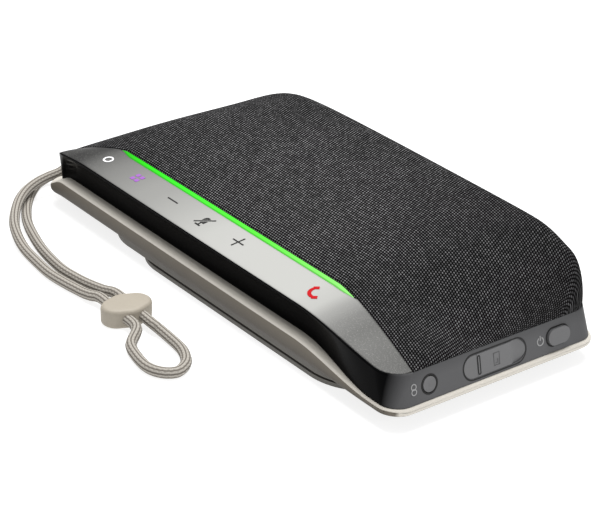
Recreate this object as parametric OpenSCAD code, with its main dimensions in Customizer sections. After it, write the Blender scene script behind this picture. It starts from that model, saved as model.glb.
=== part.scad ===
// Conference speakerphone: a low bar with a sloping fabric-covered top, a touch strip along its
// front, keys and a covered charging port on one end and a wrist lanyard on the other.
// X runs along its length, -Y is the front with the touch strip, Z is up and starts at the foot.

/* [Body] */
// Overall length at the rim of the base
body_l = 182; // [160:1:210]
// Overall width at the rim of the base
body_w = 80; // [74:1:92]
// Height of the crown above the table
body_h = 38.8; // [36:0.2:44]
// Corner radius of the rim
corner_r = 7.2; // [6.4:0.2:9]
// Corner radius of the band's top edge
top_r = 8; // [7:0.2:9]
// How much the long sides bow outwards at the middle
side_bow = 0.2; // [0:0.1:1]

/* [Foot] */
// Height of the rim's underside above the table
base_z = 5.2; // [4.8:0.1:8]
// Length of the foot
foot_l = 119; // [100:1:130]
// Width of the foot
foot_w = 76.5; // [70:0.5:78]
// Radius of the foot's corners
foot_r = 20; // [12:1:26]
// Distance of the foot's centre from the body's centre
foot_x = 12.5; // [0:0.5:14]
// Thickness of the rubber pad under the foot
pad_t = 0.8; // [0.6:0.1:1.2]
// Thickness of the flange that keeps a cable in its groove
flange_t = 1.3; // [1:0.1:1.6]
// Depth of the cable groove
groove_d = 4; // [3:0.5:8]

/* [Base boot] */
// Height of the rim
rim_h = 2.1; // [1.8:0.1:3]
// Extra height of the boot along the front
front_rise = 4.3; // [3:0.1:6]
// Wall of the boot
boot_wall = 3.2; // [2.8:0.1:3.6]

/* [Side band] */
// Height of the band's top edge above the table
band_z = 16.8; // [16.4:0.1:18]
// Wall of the band
band_wall = 1.8; // [1.5:0.1:2.2]
// Step from the rim in to the foot of the band
band_step = 0.9; // [0.6:0.1:1.4]
// Lean of the band's ends, in at the top
band_lean = 2.1; // [1:0.1:3]
// Hollow of the band along the front
band_hollow = 1.2; // [0:0.1:1.6]

/* [Top] */
// Thickness of the fabric with its backing
fabric_t = 0.9; // [0.6:0.1:1.2]
// Thickness of the grille under the fabric
grille_t = 1.6; // [1.2:0.1:2]
// Width of the touch strip, seen from above
strip_w = 16.4; // [15:0.1:17.5]
// Height that the middle of the strip's lower edge stands above the band's ends
strip_lift = 4.6; // [4:0.1:5.4]
// Height that the middle of the fabric's front edge stands above the band's ends
edge_lift = 6.4; // [6:0.1:7]
// How far the fabric's front edge runs forward at the ends
front_turn = 8.7; // [8:0.1:9]
// Thickness of the touch strip
strip_t = 1.5; // [1.2:0.1:1.8]
// Half length of the light bar
light_half = 61.5; // [55:0.5:62]
// Middle of the light bar, towards the lanyard end
light_mid = -7.5; // [-8:0.5:-6]
// Share of the strip's width that the light bar takes
light_share = 0.16; // [0.12:0.01:0.2]

/* [Keys and port] */
// Diameter of the pairing key
pair_d = 4.6; // [4:0.1:5]
// Length of the power key
power_l = 8.4; // [7.6:0.1:9]
// Height of the power key
power_h = 5; // [4:0.1:5.2]
// Travel of the keys
key_travel = 0.5; // [0.3:0.1:0.7]
// Length of the port cover's recess
port_l = 23.4; // [23:0.1:25]
// Height of the port cover's recess
port_h = 7; // [6.9:0.1:7.3]
// Thickness of the port cover
cover_t = 1.5; // [1.2:0.1:1.7]

/* [Speaker] */
// Outer diameter of the loudspeaker
driver_d = 42; // [38:1:43]
// Outer diameter of the passive radiators
radiator_d = 36; // [32:1:36]
// Distance of the radiators from the middle
radiator_x = 49; // [47.5:0.5:50]

/* [Lanyard] */
// Diameter of the lanyard cord
cord_d = 3.4; // [3:0.1:3.6]
// Length of the slider across the cords
slider_l = 16.4; // [15:0.1:18]
// Length of the slider along the cords
slider_w = 12; // [11.6:0.1:12.6]
// Height of the slider
slider_h = 6.2; // [6:0.1:7]

/* [Hidden] */
$fn = 48;

beige = [0.73, 0.71, 0.66];
dark_beige = [0.55, 0.53, 0.49];
charcoal = [0.20, 0.20, 0.21];
black = [0.07, 0.07, 0.08];
silver = [0.72, 0.72, 0.70];
fit_gap = 0.1;      // gap between pieces that are assembled together
free_gap = 0.25;    // gap round a piece that moves

// ---- shared outlines -------------------------------------------------------------------------

half_l = body_l / 2;
half_w = body_w / 2;
top_in_x = band_step + band_lean;               // from the rim in to the band's top edge
top_in_y = 1.4;
dome_x = half_l - top_in_x;                     // half length at the band's top edge
dome_h = body_h - band_z;                       // rise of the crown above the band
front_y = -(half_w - top_in_y) + strip_w;       // straight front edge of the fabric
front_end_y = front_y - front_turn;             // where that edge reaches the ends
front_pts = 26;     // stretches along each long side
corner_pts = 6;     // stretches round each corner
end_pts = 4;        // stretches along each end

function clamp01(t) = max(0, min(1, t));
function smooth(t) = let(c = clamp01(t)) c * c * (3 - 2 * c);
function mix(a, b, t) = a + (b - a) * t;
function heading(p, q) = (q - p) / norm(q - p);

// Half width of the rim at a station along its length
function half_at(x) = half_w - side_bow * pow(x / half_l, 2);

// Outline with half length l and half width w, counterclockwise from the front left corner, as
// [x, y, inward x, inward y]; all outlines have as many points
function long_side(s, l, dw, r) = [for (i = [0 : front_pts - 1])
  let(x = s * (l - r) * (2 * i / front_pts - 1)) [x, -s * (half_at(x) - dw), 0, s]];
function corner(cx, cy, a0, r) = [for (i = [0 : corner_pts - 1])
  let(a = a0 + 90 * i / corner_pts)
  [cx + r * cos(a), cy + r * sin(a), -cos(a), -sin(a)]];
function short_side(s, l, y) = [for (i = [0 : end_pts - 1])
  [s * l, s * y * (2 * i / end_pts - 1), -s, 0]];
function outline(l, dw, r) = let(x = l - r, y = half_at(x) - dw - r)
  concat(long_side(1, l, dw, r), corner(x, -y, -90, r), short_side(1, l, y), corner(x, y, 0, r),
    long_side(-1, l, dw, r), corner(-x, y, 90, r), short_side(-1, l, y), corner(-x, -y, 180, r));
rim = outline(half_l, 0, corner_r);
crest = outline(dome_x, top_in_y, top_r);       // outline of the band's top edge

// A point of the rim moved in by ox along X and oy along Y, at height z
function rim_point(r, ox, oy, z) = [r[0] + ox * r[2], r[1] + oy * r[3], z];

// Share of the boot's front rise at a point of the rim: full in the middle, none at the corners
// The top and the boot fall away from these stations, nearer the middle at the key end
fold_right = 45;
fold_left = 66;
function past_fold(x) = let(f = x > 0 ? fold_right : fold_left) clamp01((abs(x) - f) / (dome_x - f));
function rise(r) = r[1] > -half_w / 2 ? 0
  : 1 - smooth(r[0] > 0 ? 1.2 * past_fold(r[0]) : (12 - half_l - r[0]) / 11);

// Height of the seam between boot and band, and of the band's top edge
function seam_z(r) = base_z + rim_h + front_rise * rise(r);
function strip_low_z(x) = band_z + strip_lift * (x > 0 ? 1 - smooth(past_fold(x))
  : (1 - 0.3 * smooth(past_fold(x))) * (1 - smooth((9 - half_l - x) / 7)));
function band_top_z(r) = r[1] < front_end_y ? strip_low_z(r[0]) : band_z;

// Rounded plate made of plain boxes and cylinders, so that its edges stay true
module plate(l, w, r, h) {
  linear_extrude(h) {
    square([l - 2 * r, w], center = true);
    square([l, w - 2 * r], center = true);
    for (sx = [-1, 1], sy = [-1, 1]) translate([sx * (l / 2 - r), sy * (w / 2 - r)]) circle(r);
  }
}

// Closed ring from a list of loops, each a list of as many points; the last joins the first
module loop_ring(loops) {
  n = len(loops[0]);
  m = len(loops);
  pts = [for (l = loops) each l];
  faces = [for (k = [0 : m - 1], i = [0 : n - 1])
    let(k2 = (k + 1) % m, i2 = (i + 1) % n,
        a = k * n + i, b = k * n + i2, c = k2 * n + i2, d = k2 * n + i)
    each [[a, c, b], [a, d, c]]];
  polyhedron(pts, faces, convexity = 8);
}

// Closed cup from a list of loops that climb the outside and come down inside to its floor
module cup(loops) {
  n = len(loops[0]);
  m = len(loops);
  pts = [for (l = loops) each l];
  walls = [for (k = [0 : m - 2], i = [0 : n - 1])
    let(i2 = (i + 1) % n, a = k * n + i, b = k * n + i2, c = a + n, d = b + n)
    each [[a, d, b], [a, c, d]]];
  caps = [[for (i = [0 : n - 1]) i], [for (i = [n - 1 : -1 : 0]) (m - 1) * n + i]];
  polyhedron(pts, concat(walls, caps), convexity = 8);
}

// Closed sheet between two grids of as many points, the first above the second
module sheet(top, under) {
  m = len(top);
  n = len(top[0]);
  pts = concat([for (r = top) each r], [for (r = under) each r]);
  u = m * n;
  skins = [for (i = [0 : m - 2], j = [0 : n - 2])
    let(a = i * n + j, b = a + 1, c = a + n + 1, d = a + n)
    each [[a, b, c], [a, c, d], [u + a, u + c, u + b], [u + a, u + d, u + c]]];
  sides = [for (j = [0 : n - 2]) let(a = j, b = j + 1, e = (m - 1) * n + j, f = e + 1)
    each [[a, u + b, b], [a, u + a, u + b], [e, f, u + f], [e, u + f, u + e]]];
  ends = [for (i = [0 : m - 2]) let(a = i * n, b = a + n, e = i * n + n - 1, f = e + n)
    each [[a, b, u + b], [a, u + b, u + a], [e, u + f, f], [e, u + e, u + f]]];
  polyhedron(pts, concat(skins, sides, ends), convexity = 8);
}

// ---- foot ------------------------------------------------------------------------------------

plinth_h = 2;                                   // step under the rim
groove_z = base_z - plinth_h;                   // underside of the plinth
plinth_l = foot_l + 16;
plinth_w = foot_w + 0.6;
plinth_x = foot_x - 7;
cable_d = 3.6;
gland_x = -71;
gland_y = 16;
gland_r = 3.4;

module foot_pad() {
  color(dark_beige) translate([foot_x, 0, 0]) difference() {
    plate(foot_l - 3, foot_w - 3, foot_r - 1.5, pad_t);
    translate([0, 0, -1]) plate(foot_l - 23, foot_w - 23, foot_r - 11.5, pad_t + 2);
  }
}

module foot_plate() {
  color(beige) translate([foot_x, 0, pad_t]) {
    plate(foot_l, foot_w, foot_r, flange_t);
    plate(foot_l - 2 * groove_d, foot_w - 2 * groove_d, foot_r - groove_d, groove_z - pad_t + 0.5);
  }
  color(beige) translate([plinth_x, 0, groove_z]) plate(plinth_l, plinth_w, foot_r, plinth_h);
}

module cable_gland() {
  color(black) translate([gland_x, gland_y, 1]) difference() {
    union() {
      cylinder(r = gland_r, h = base_z - 1);
      translate([0, 0, base_z - 2.2]) cylinder(r = gland_r + 1, h = 1.2);
    }
    translate([0, 0, -1]) cylinder(d = cable_d, h = base_z - 0.5);
  }
}

// ---- base boot -------------------------------------------------------------------------------

boot_floor = 1.2;
boot_round = 1.1;   // rounding of its top edge

module base_boot() {
  // Outer wall from the rim's underside over the swell and the rounded edge to the seam
  // as [inset, share of its height, further inset at the middle of the front]
  outer = [[0.3, 0, 0.7], [0, 0.25, 0.3], [0, 0.6, 0], [0.05, 0.82, 0],
    [boot_round * 0.35, 0.95, 0], [boot_round, 1, 0]];
  function inside(r) = boot_wall - 0.2 + 0.7 * seam_in(r);
  color(beige) {
    cup(concat(
      [for (s = outer) [for (r = rim) let(o = s[0] + s[2] * rise(r))
        rim_point(r, o, o, base_z + s[1] * (seam_z(r) - base_z))]],
      [[for (r = rim) rim_point(r, inside(r), inside(r), seam_z(r))],
       [for (r = rim) rim_point(r, inside(r), inside(r), base_z + boot_floor)]]));
  }
}

// ---- band ------------------------------------------------------------------------------------

// How far the band's foot and top lie inside the rim
function inset_share(r) = r[0] > 0 ? rise(r) : r[1] > -half_w / 2 ? 0 : 1 - smooth((r[1] + 37) / 12);
function seam_in(r) = band_step + 3.1 * inset_share(r);
face_z0 = base_z + rim_h + fit_gap;             // foot of the band at its ends
lean = atan2(band_lean, band_z - face_z0);
rabbet_w = 0.3;                                 // lip round the strip's lower edge
function rabbet(r) = r[1] < front_end_y ? 0.7 : 0.06;

// Points of the band's outside at a share t of its height, moved in by o and down by d
function band_loop(t, o, d = 0) = [for (i = [0 : len(rim) - 1])
  let(r = rim[i], c = crest[i], f = seam_in(r),
      foot = rim_point(r, f + o, f + o, seam_z(r) + fit_gap),
      top = rim_point(c, o, o, band_top_z(c) - (d > 0 ? rabbet(c) : 0)),
      hollow = band_hollow * rise(r) * sin(180 * t))
  mix(foot, top, t) + [0, r[3] * hollow, 0]];

// Frame on the band's face at the key end: local Z points out, local X down, local Y along Y
module on_end(y, z) {
  translate([half_l - band_step - (z - face_z0) * tan(lean), y, z]) rotate([0, 90 - lean, 0]) children();
}

key_z = 11.9;
pair_y = -25.4;
power_y = 23.4;
port_y = -1;        // middle of the port cover's recess
hinge_y = -7.7;     // line about which the port cover swings
socket_y = 1;
cord_z = 10.6;      // height at which the lanyard leaves
cord_y = -25;       // middle of the lanyard's two strands
cord_pitch = 4.4;

module slot_shape(l, h) {
  translate([0, -(l - h) / 2]) circle(d = h);
  translate([0, (l - h) / 2]) circle(d = h);
  square([h, l - h], center = true);
}

module side_band() {
  steps = 5;
  color(charcoal) difference() {
    loop_ring(concat([for (k = [0 : steps]) band_loop(k / steps, 0)],
      [band_loop(1, rabbet_w), band_loop(1, rabbet_w, 1), band_loop(1, band_wall, 1)],
      [for (k = [steps - 1 : -1 : 0]) band_loop(k / steps, band_wall)]));
    on_end(pair_y, key_z) {
      translate([0, 0, -6]) cylinder(d = pair_d + 2 * free_gap, h = 12);
      translate([0, 0, -0.5]) cylinder(d1 = pair_d + 2 * free_gap, d2 = pair_d + 2.2, h = 0.8);
    }
    on_end(power_y, key_z) translate([0, 0, -6])
      linear_extrude(12) slot_shape(power_l + 2 * free_gap, power_h + 2 * free_gap);
    on_end(port_y, key_z) translate([0, 0, -cover_t - fit_gap])
      linear_extrude(8) slot_shape(port_l, port_h);
    on_end(socket_y, key_z) translate([0, 0, -6]) cube([6.4, 13.8, 12], center = true);
    translate([-half_l, cord_y, cord_z]) rotate([0, 90, 0]) translate([0, 0, -5])
      linear_extrude(14) slot_shape(cord_pitch + cord_d + 2, cord_d + 2);
  }
}

// ---- keys, port and end marks ----------------------------------------------------------------

key_skirt = 0.8;
key_seat = -band_wall - 0.15;   // outer face of the skirt behind the band
module key_body(l, h, proud) {
  translate([0, 0, key_seat - 0.1]) linear_extrude(proud + 0.1 - key_seat) slot_shape(l, h);
  translate([0, 0, key_seat - key_skirt]) linear_extrude(key_skirt) slot_shape(l + 1.6, h + 1.6);
  translate([0, 0, switch_top + 0.1]) cylinder(d = 2, h = key_seat - switch_top - 0.2);
}

module pair_button() {
  color(charcoal * 1.6) on_end(pair_y, key_z) difference() {
    union() {
      translate([0, 0, key_seat - 0.1]) cylinder(d = pair_d, h = 0.2 - key_seat);
      translate([0, 0, key_seat - key_skirt]) cylinder(d = pair_d + 1.6, h = key_skirt);
      translate([0, 0, switch_top + 0.1]) cylinder(d = 2, h = key_seat - switch_top - 0.2);
    }
    translate([0, 0, 18 - 0.05]) sphere(r = 18, $fn = 96);
  }
}

module power_button() {
  color(charcoal * 1.6) on_end(power_y, key_z) key_body(power_l, power_h, 0.9);
}

switch_top = -4.7;
switch_h = 1.8;
key_board_z = switch_top - 0.7 - switch_h - 1;
module key_board() {
  color([0.1, 0.35, 0.2]) difference() {
    on_end(0, key_z) translate([-3, pair_y - 5, key_board_z])
      cube([4.8, power_y - pair_y + 12, 1]);
    translate([half_l - 21, socket_y - socket_w / 2 - fit_gap, key_z - 10])
      cube([20, socket_w + 2 * fit_gap, 20]);
  }
}

module key_switches() {
  color([0.75, 0.75, 0.72]) for (y = [pair_y, power_y]) on_end(y, key_z) {
    translate([-2.4, -2.2, key_board_z + 1]) cube([4.2, 4.4, switch_h]);
    translate([0, 0, key_board_z + switch_h + 0.9]) cylinder(d = 2, h = 0.7 - key_travel + 0.1);
  }
}

// Generic marks printed beside the keys: a broken circle with a bar, and a pair of linked rings
module power_mark() {
  difference() {
    circle(r = 1.35);
    circle(r = 1);
    translate([-1.6, 0]) square([2, 1], center = true);
  }
  translate([-1, 0]) square([1.5, 0.35], center = true);
}
module pair_mark() {
  for (s = [-1, 1]) translate([s * 0.75, 0]) difference() {
    circle(r = 1);
    circle(r = 0.7);
  }
}
mark_t = 0.08;
module band_marks() {
  color("white") {
    on_end(power_y - 6.8, key_z) linear_extrude(mark_t) power_mark();
    on_end(pair_y - 5.7, key_z) linear_extrude(mark_t) pair_mark();
  }
}

cover_clear = 0.12;
module port_cover() {
  far = port_y + port_l / 2;
  scoop_r = 5.5;
  color(charcoal * 1.4) difference() {
    union() {
      on_end(port_y, key_z) translate([0, 0, -cover_t]) linear_extrude(cover_t)
        intersection() {
          slot_shape(port_l - 2 * cover_clear, port_h - 2 * cover_clear);
          translate([-port_h, hinge_y + cover_clear - port_y]) square([2 * port_h, port_l]);
        }
      on_end(socket_y - 0.2, key_z) translate([-1.7, -5.2, -cover_t - 2]) cube([3.4, 10.4, 2.4]);
    }
    on_end(far - 2.9, key_z) translate([0, 0, scoop_r - 0.7]) rotate([0, 90, 0])
      cylinder(r = scoop_r, h = 2 * port_h, center = true);
    on_end(socket_y - 1.4, key_z) translate([0, 0, -0.15]) linear_extrude(1) plug_mark();
  }
}
// Generic mark of a battery with a bar
module plug_mark() {
  difference() {
    square([4, 2.4], center = true);
    square([3.4, 1.8], center = true);
  }
  translate([0.7, 0]) square([1.4, 1.2], center = true);
}

module port_tab() {
  color(charcoal * 1.4) on_end(port_y, key_z) translate([0, 0, -cover_t]) linear_extrude(cover_t)
    intersection() {
      slot_shape(port_l - 2 * cover_clear, port_h - 2 * cover_clear);
      translate([-port_h, hinge_y - port_y - port_l]) square([2 * port_h, port_l]);
    }
}

socket_l = 12;
socket_w = 13.2;
socket_h = 5.4;
socket_x = half_l - 16.6;
module usb_socket() {
  color([0.75, 0.76, 0.78]) translate([socket_x, socket_y, key_z - 0.2]) difference() {
    translate([0, -socket_w / 2, -socket_h / 2]) cube([socket_l, socket_w, socket_h]);
    translate([0.6, -socket_w / 2 + 0.35, -socket_h / 2 + 0.3])
      cube([socket_l, socket_w - 0.7, socket_h - 0.6]);
  }
  color("white") translate([socket_x + 0.6, socket_y, key_z + 0.2])
    translate([0, -5.6, 0]) cube([5, 11.2, 1.8]);
}

// ---- top: dome, grille, fabric ---------------------------------------------------------------

slope_bend = 0.37;                              // how much the top's slope eases towards the back
crown_y = half_w - 8;                           // where the top is highest
back_roll = 9;                                  // width of the rolled back edge
end_roll = 8.5;                                 // width of the rolled edge at the key end
edge_z = band_z + edge_lift;

crest_x = dome_x - top_r;                       // middle of the top edge's corners
crest_y = half_at(crest_x) - top_in_y - top_r;
// Half length and back edge of the top, with its round corners, for a surface that lies t inside
function end_x(y, t) = crest_x - t + sqrt(top_r * top_r - pow(max(0, -y - crest_y), 2));
function back_y(x, t) = let(a = clamp01((abs(x) - crest_x) / (top_r - t)))
  half_at(min(abs(x), crest_x)) - top_in_y - top_r + (top_r - t) * sqrt(1 - a * a);
// Front edge of the top over a station, which runs forward past the folds
function front_at(x) = front_y - front_turn * pow(past_fold(x), 1.2);
// The smaller of two heights, blended over s
function blend_min(a, b, s) = (a + b - sqrt((a - b) * (a - b) + s * s)) / 2;
// Middle part of the top, a slope that eases towards the back
function slope_z(y) = let(u = (y - front_y) / (crown_y - front_y))
  edge_z + (body_h + 0.2 - edge_z) * u * (1 + slope_bend - slope_bend * u);
// Facets that fall to the ends: one plane at the lanyard end, a bent one at the key end
function left_z(x) = band_z + 0.6 + 0.6 * (x + dome_x);
function right_drop(x, y) = let(u = x - 60.7 - 0.29 * y)
  (0.07 + 0.38 * smooth((y + 26) / 24)) * (u + sqrt(u * u + 16)) / 2;
function top_z(x, y) = blend_min(slope_z(y) - right_drop(x, y), left_z(x),
  2.5 + 4 * smooth((y + 10) / 40));
// Share of the height left at b of a rolled edge, from 0 where it starts to 1 at its end
function rolled(b) = let(c = clamp01(b)) pow(max(0, 1 - pow(c, 2.6)), 1 / 2.2);

// Height of the top over a point, for a surface that lies t inside the outermost one
function dome_z(x, y, t) = let(yb = back_y(x, t), xe = end_x(y, t))
  band_z + max(0, top_z(x, y) - band_z - t) * rolled((y - yb + back_roll) / back_roll)
    * rolled((x - xe + end_roll) / end_roll) * rolled((-x - xe + 1.5) / 1.5);

dome_m = 36;
dome_n = 16;
function spread(s) = s * (1.35 - 0.35 * s * s);
function dome_grid(t, edge) = [for (i = [0 : dome_m])
  let(xs = (dome_x - t) * spread(2 * i / dome_m - 1), y0 = front_at(xs) + edge, y1 = back_y(xs, t))
  [for (j = [0 : dome_n]) let(w = j / dome_n, y = mix(y0, y1, w * (1.3 - 0.3 * w * w)),
    x = xs * end_x(y, t) / (dome_x - t)) [x, y, dome_z(x, y, t)]]];

module fabric_cover() {
  color(charcoal) sheet(dome_grid(0, 0), dome_grid(fabric_t, 0));
}

slot_rows = 9;
module grille_plate() {
  outer = fabric_t + 0.15;
  color(black) difference() {
    sheet(dome_grid(outer, 0.4), dome_grid(outer + grille_t, 0.4));
    for (k = [-1, 0, 1], s = [0 : slot_rows - 1])
      translate([k * radiator_x + (s - (slot_rows - 1) / 2) * 3, driver_y, 30])
        cube([1.5, k == 0 ? 30 : 24, 30], center = true);
  }
}

// ---- front strip -----------------------------------------------------------------------------

strip_in = rabbet_w + 0.08;                     // from the band's outline to the strip's edge
strip_r = top_r - strip_in;
strip_tip = 0.7;                                // width of the strip's ends
strip_end = crest_x + sqrt(strip_r * strip_r - pow(crest_y + front_end_y - fit_gap - strip_tip, 2));
// Lower edge of the strip, which follows the band's corner, and upper edge along the fabric
function strip_low(x) = let(a = max(0, abs(x) - crest_x))
  [x, -(half_at(min(abs(x), crest_x)) - top_in_y - top_r) - sqrt(strip_r * strip_r - a * a),
    strip_low_z(x)];
function strip_high(x) = [x, front_at(x) - fit_gap, top_z(x, front_at(x))];
// Point of the strip's face at a share s of its width, moved down by t
strip_crown = 0.35;
function strip_point(x, s, t) = let(a = strip_low(x), b = strip_high(x), q = mix(a, b, s),
  c = strip_crown * 4 * s * (1 - s) * norm(b - a) / 16)
  q + [0, -0.1 * c, c - t];
function strip_share(x) = 1 - light_share * (1 - smooth((abs(x - light_mid) - light_half + 1) / 6));

strip_m = 44;
function strip_taper(x) = 1 - 0.7 * smooth((abs(x) - 66) / 13);
module touch_strip() {
  across = 3;
  function row(x, t) = [for (j = [0 : across])
    strip_point(x, strip_share(x) * j / across, t * (j == 0 ? 0.35 : strip_taper(x)))];
  function grid(t) = [for (i = [0 : strip_m]) row(strip_end * spread(2 * i / strip_m - 1), t)];
  color(silver) sheet(grid(0), grid(strip_t));
}

bar_m = 26;
module light_bar() {
  function grid(t) = [for (i = [0 : bar_m]) let(x = light_mid + (light_half + 1) * (2 * i / bar_m - 1))
    [for (s = [0, 1]) strip_point(x, mix(strip_share(x) + 0.035, 0.995, s), t)]];
  color([0.2, 0.95, 0.1]) sheet(grid(0.15), grid(strip_t));
}

// Frame on the strip's face at a station: local X along the strip, local Y up its slope
module on_strip(x, s) {
  p = strip_point(x, s, 0);
  u = heading(strip_point(x - 2, s, 0), strip_point(x + 2, s, 0));
  v0 = heading(strip_point(x, s - 0.1, 0), strip_point(x, s + 0.1, 0));
  n = heading([0, 0, 0], cross(u, v0));
  v = cross(n, u);
  multmatrix([[u[0], v[0], n[0], p[0]], [u[1], v[1], n[1], p[1]], [u[2], v[2], n[2], p[2]]]) children();
}
mark_w = 0.5;
mark_s = 0.475;                                 // place of the marks across the strip
mark_mid = -11.2;                               // middle of the volume and mute marks
mark_pitch = 17.2;
call_x = 44.2;
app_x = [-64.9, -48.1];
mark_lift = 0.07;
module handset_mark() {
  rotate(-45) {
    difference() {
      translate([0, 1]) circle(r = 3.2);
      translate([0, 1.2]) circle(r = 2.2);
      translate([-4, 0.2]) square([8, 5]);
    }
    for (sx = [-1, 1]) translate([sx * 2.5, 0.2]) square([1.4, 1.8], center = true);
  }
}
module mute_mark() {
  difference() {
    union() {
      translate([0, 0.7]) circle(r = 1.2);
      translate([0, -0.4]) square([2.4, 2.2], center = true);
    }
    rotate(45) square([9, 1.3], center = true);
  }
  translate([0, -2.2]) square([mark_w, 1.2], center = true);
  translate([0, -2.9]) square([2.4, mark_w], center = true);
  rotate(45) square([7, mark_w], center = true);
}
module strip_marks() {
  color(black) {
    on_strip(mark_mid - mark_pitch, mark_s) translate([0, 0, mark_lift]) linear_extrude(mark_t)
      square([5.2, mark_w], center = true);
    on_strip(mark_mid, mark_s) translate([0, 0, mark_lift]) linear_extrude(mark_t) mute_mark();
    on_strip(mark_mid + mark_pitch, mark_s) translate([0, 0, mark_lift]) linear_extrude(mark_t) {
      square([5.2, mark_w], center = true);
      square([mark_w, 5.2], center = true);
    }
  }
  color([0.75, 0.1, 0.12]) on_strip(call_x, mark_s - 0.04) translate([0, 0, mark_lift])
    linear_extrude(mark_t) handset_mark();
  color("white") on_strip(app_x[0], mark_s) translate([0, 0, mark_lift + 0.05])
    linear_extrude(mark_t) difference() {
      circle(r = 1.8);
      circle(r = 1.2);
    }
  color([0.55, 0.4, 0.7]) on_strip(app_x[1], mark_s) translate([0, 0, mark_lift])
    linear_extrude(mark_t) for (sx = [-1, 1], sy = [-1, 1])
      translate([sx * 1.1, sy * 1.1]) square(1.5, center = true);
}

// Prism under the lit part of the strip, between two shares of its width and two depths
carrier_half = light_half - 10;
module slab(s0, s1, d0, d1, l) {
  a = strip_point(0, s0, d0);
  b = strip_point(0, s1, d0);
  translate([light_mid - l, 0, 0]) rotate([90, 0, 90]) linear_extrude(2 * l)
    polygon([[a[1], a[2]], [b[1], b[2]], [b[1], b[2] - d1], [a[1], a[2] - d1]]);
}

board_under = strip_t + 0.3;
module touch_board() {
  color([0.1, 0.35, 0.2]) slab(0.3, 0.78, board_under, 0.6, carrier_half - 2);
}

module strip_carrier() {
  depth = board_under + 0.8;
  a = strip_point(0, 0.3, depth);
  b = strip_point(0, 0.8, depth);
  foot_y = case_y - case_w / 2 + 0.3;
  color(black) translate([light_mid - carrier_half, 0, 0]) rotate([90, 0, 90])
    linear_extrude(2 * carrier_half) polygon([[a[1], a[2]], [b[1], b[2]],
      [b[1] + 0.4, box_z + box_t], [foot_y, box_z + box_t],
      [foot_y, box_z + box_t + 0.8]]);
}

led_count = 15;
led_y = front_y + 1.6;
module led_board() {
  z0 = box_z + box_t + 0.05;
  top = edge_z - fabric_t - grille_t - 1.1;
  color([0.1, 0.35, 0.2]) translate([light_mid - light_half + 12, led_y, z0])
    cube([2 * light_half - 22, 0.9, top - z0]);
  color("white") for (i = [0 : led_count - 1])
    translate([light_mid + (i - (led_count - 1) / 2) * (2 * light_half - 30) / (led_count - 1) - 1,
      led_y - 0.7, top - 2]) cube([2, 0.7, 1.6]);
}

// ---- inside ----------------------------------------------------------------------------------

case_l = body_l - 13;
case_w = body_w - 13.5;
case_y = 0.5;
case_z = base_z + boot_floor + fit_gap;
case_wall = 1.8;
case_top = band_z - 2.6;
gasket_t = 0.8;
box_z = case_top + gasket_t;                    // underside of the speaker box
box_t = 1.8;
screw_x = case_l / 2 - 9;
screw_y = case_w / 2 - 7;
board_left = -22;                               // main board's edge beside the cells
board_w = case_w - 7.5;

module at_corners() {
  for (sx = [-1, 1], sy = [-1, 1]) translate([sx * screw_x, case_y + sy * screw_y, 0]) children();
}
function board_holes() = [for (x = [board_left + 6, socket_x - 8.4],
  y = [4.5 - board_w / 2, board_w / 2 - 3.5]) [x, y]];

board_z = case_z + 4.2;
module lower_case() {
  color(black) difference() {
    union() {
      translate([0, case_y, case_z]) difference() {
        plate(case_l, case_w, 6, case_top - case_z);
        translate([0, 0, case_wall]) plate(case_l - 2 * case_wall, case_w - 2 * case_wall, 4.2, 30);
      }
      at_corners() translate([0, 0, case_z]) cylinder(d = 6, h = case_top - case_z);
      for (p = board_holes()) translate([p[0], p[1], case_z]) cylinder(d = 5, h = board_z - case_z);
    }
    at_corners() translate([0, 0, case_z - 1]) cylinder(d = 2.9, h = 30);
    at_corners() translate([0, 0, case_z - 1]) cylinder(d = 5.2, h = 3.2);
    for (p = board_holes()) translate([p[0], p[1], case_z + 1.5]) cylinder(d = 1.7, h = 10);
    for (s = [-1, 1]) translate([s * case_l / 2, s < 0 ? cord_y : -2, case_z + 2 + 6])
      cube([2 * case_wall + 4, s < 0 ? 14 : 72, 12], center = true);
  }
}

module case_gasket() {
  color([0.3, 0.3, 0.3]) translate([0, case_y, case_top]) difference() {
    plate(case_l - 0.4, case_w - 0.4, 5.8, gasket_t);
    translate([0, 0, -1]) plate(case_l - 2 * case_wall + 0.4, case_w - 2 * case_wall + 0.4, 4.4, 5);
    translate([socket_x, socket_y - case_y - socket_w / 2 - 0.3, -1]) cube([30, socket_w + 0.6, 5]);
  }
}

driver_y = 10;                                  // middle of the loudspeaker and the radiators
driver_z = box_z + box_t + 6.6;                        // top of the loudspeaker's flange
driver_r = driver_d / 2;
radiator_z = box_z + box_t + 4.8;                      // top of the radiators' flanges
radiator_r = radiator_d / 2;
flange_h = 1.4;

module speaker_box() {
  top = box_z + box_t;
  color(black) difference() {
    union() {
      translate([0, case_y, box_z]) plate(case_l, case_w, 6, box_t);
      translate([0, driver_y, 0]) cylinder(r = driver_r + 1.4, h = driver_z - flange_h);
      for (s = [-1, 1]) translate([s * radiator_x, driver_y, 0])
        cylinder(r = radiator_r + 0.6, h = radiator_z - flange_h);
    }
    translate([0, driver_y, -1]) cylinder(r = driver_r - 2.6, h = 60);
    for (s = [-1, 1]) translate([s * radiator_x, driver_y, -1]) cylinder(r = radiator_r - 2.6, h = 60);
    translate([-body_l, -body_w, -1]) cube([2 * body_l, 2 * body_w, box_z + 1]);
    at_corners() translate([0, 0, box_z - 1]) cylinder(d = 2.1, h = 10);
    translate([0, driver_y, 0]) for (a = [45 : 90 : 315]) rotate(a)
      translate([driver_r - 1.6, 0, driver_z - flange_h - 5]) cylinder(d = 1.4, h = 10);
  }
}

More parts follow.
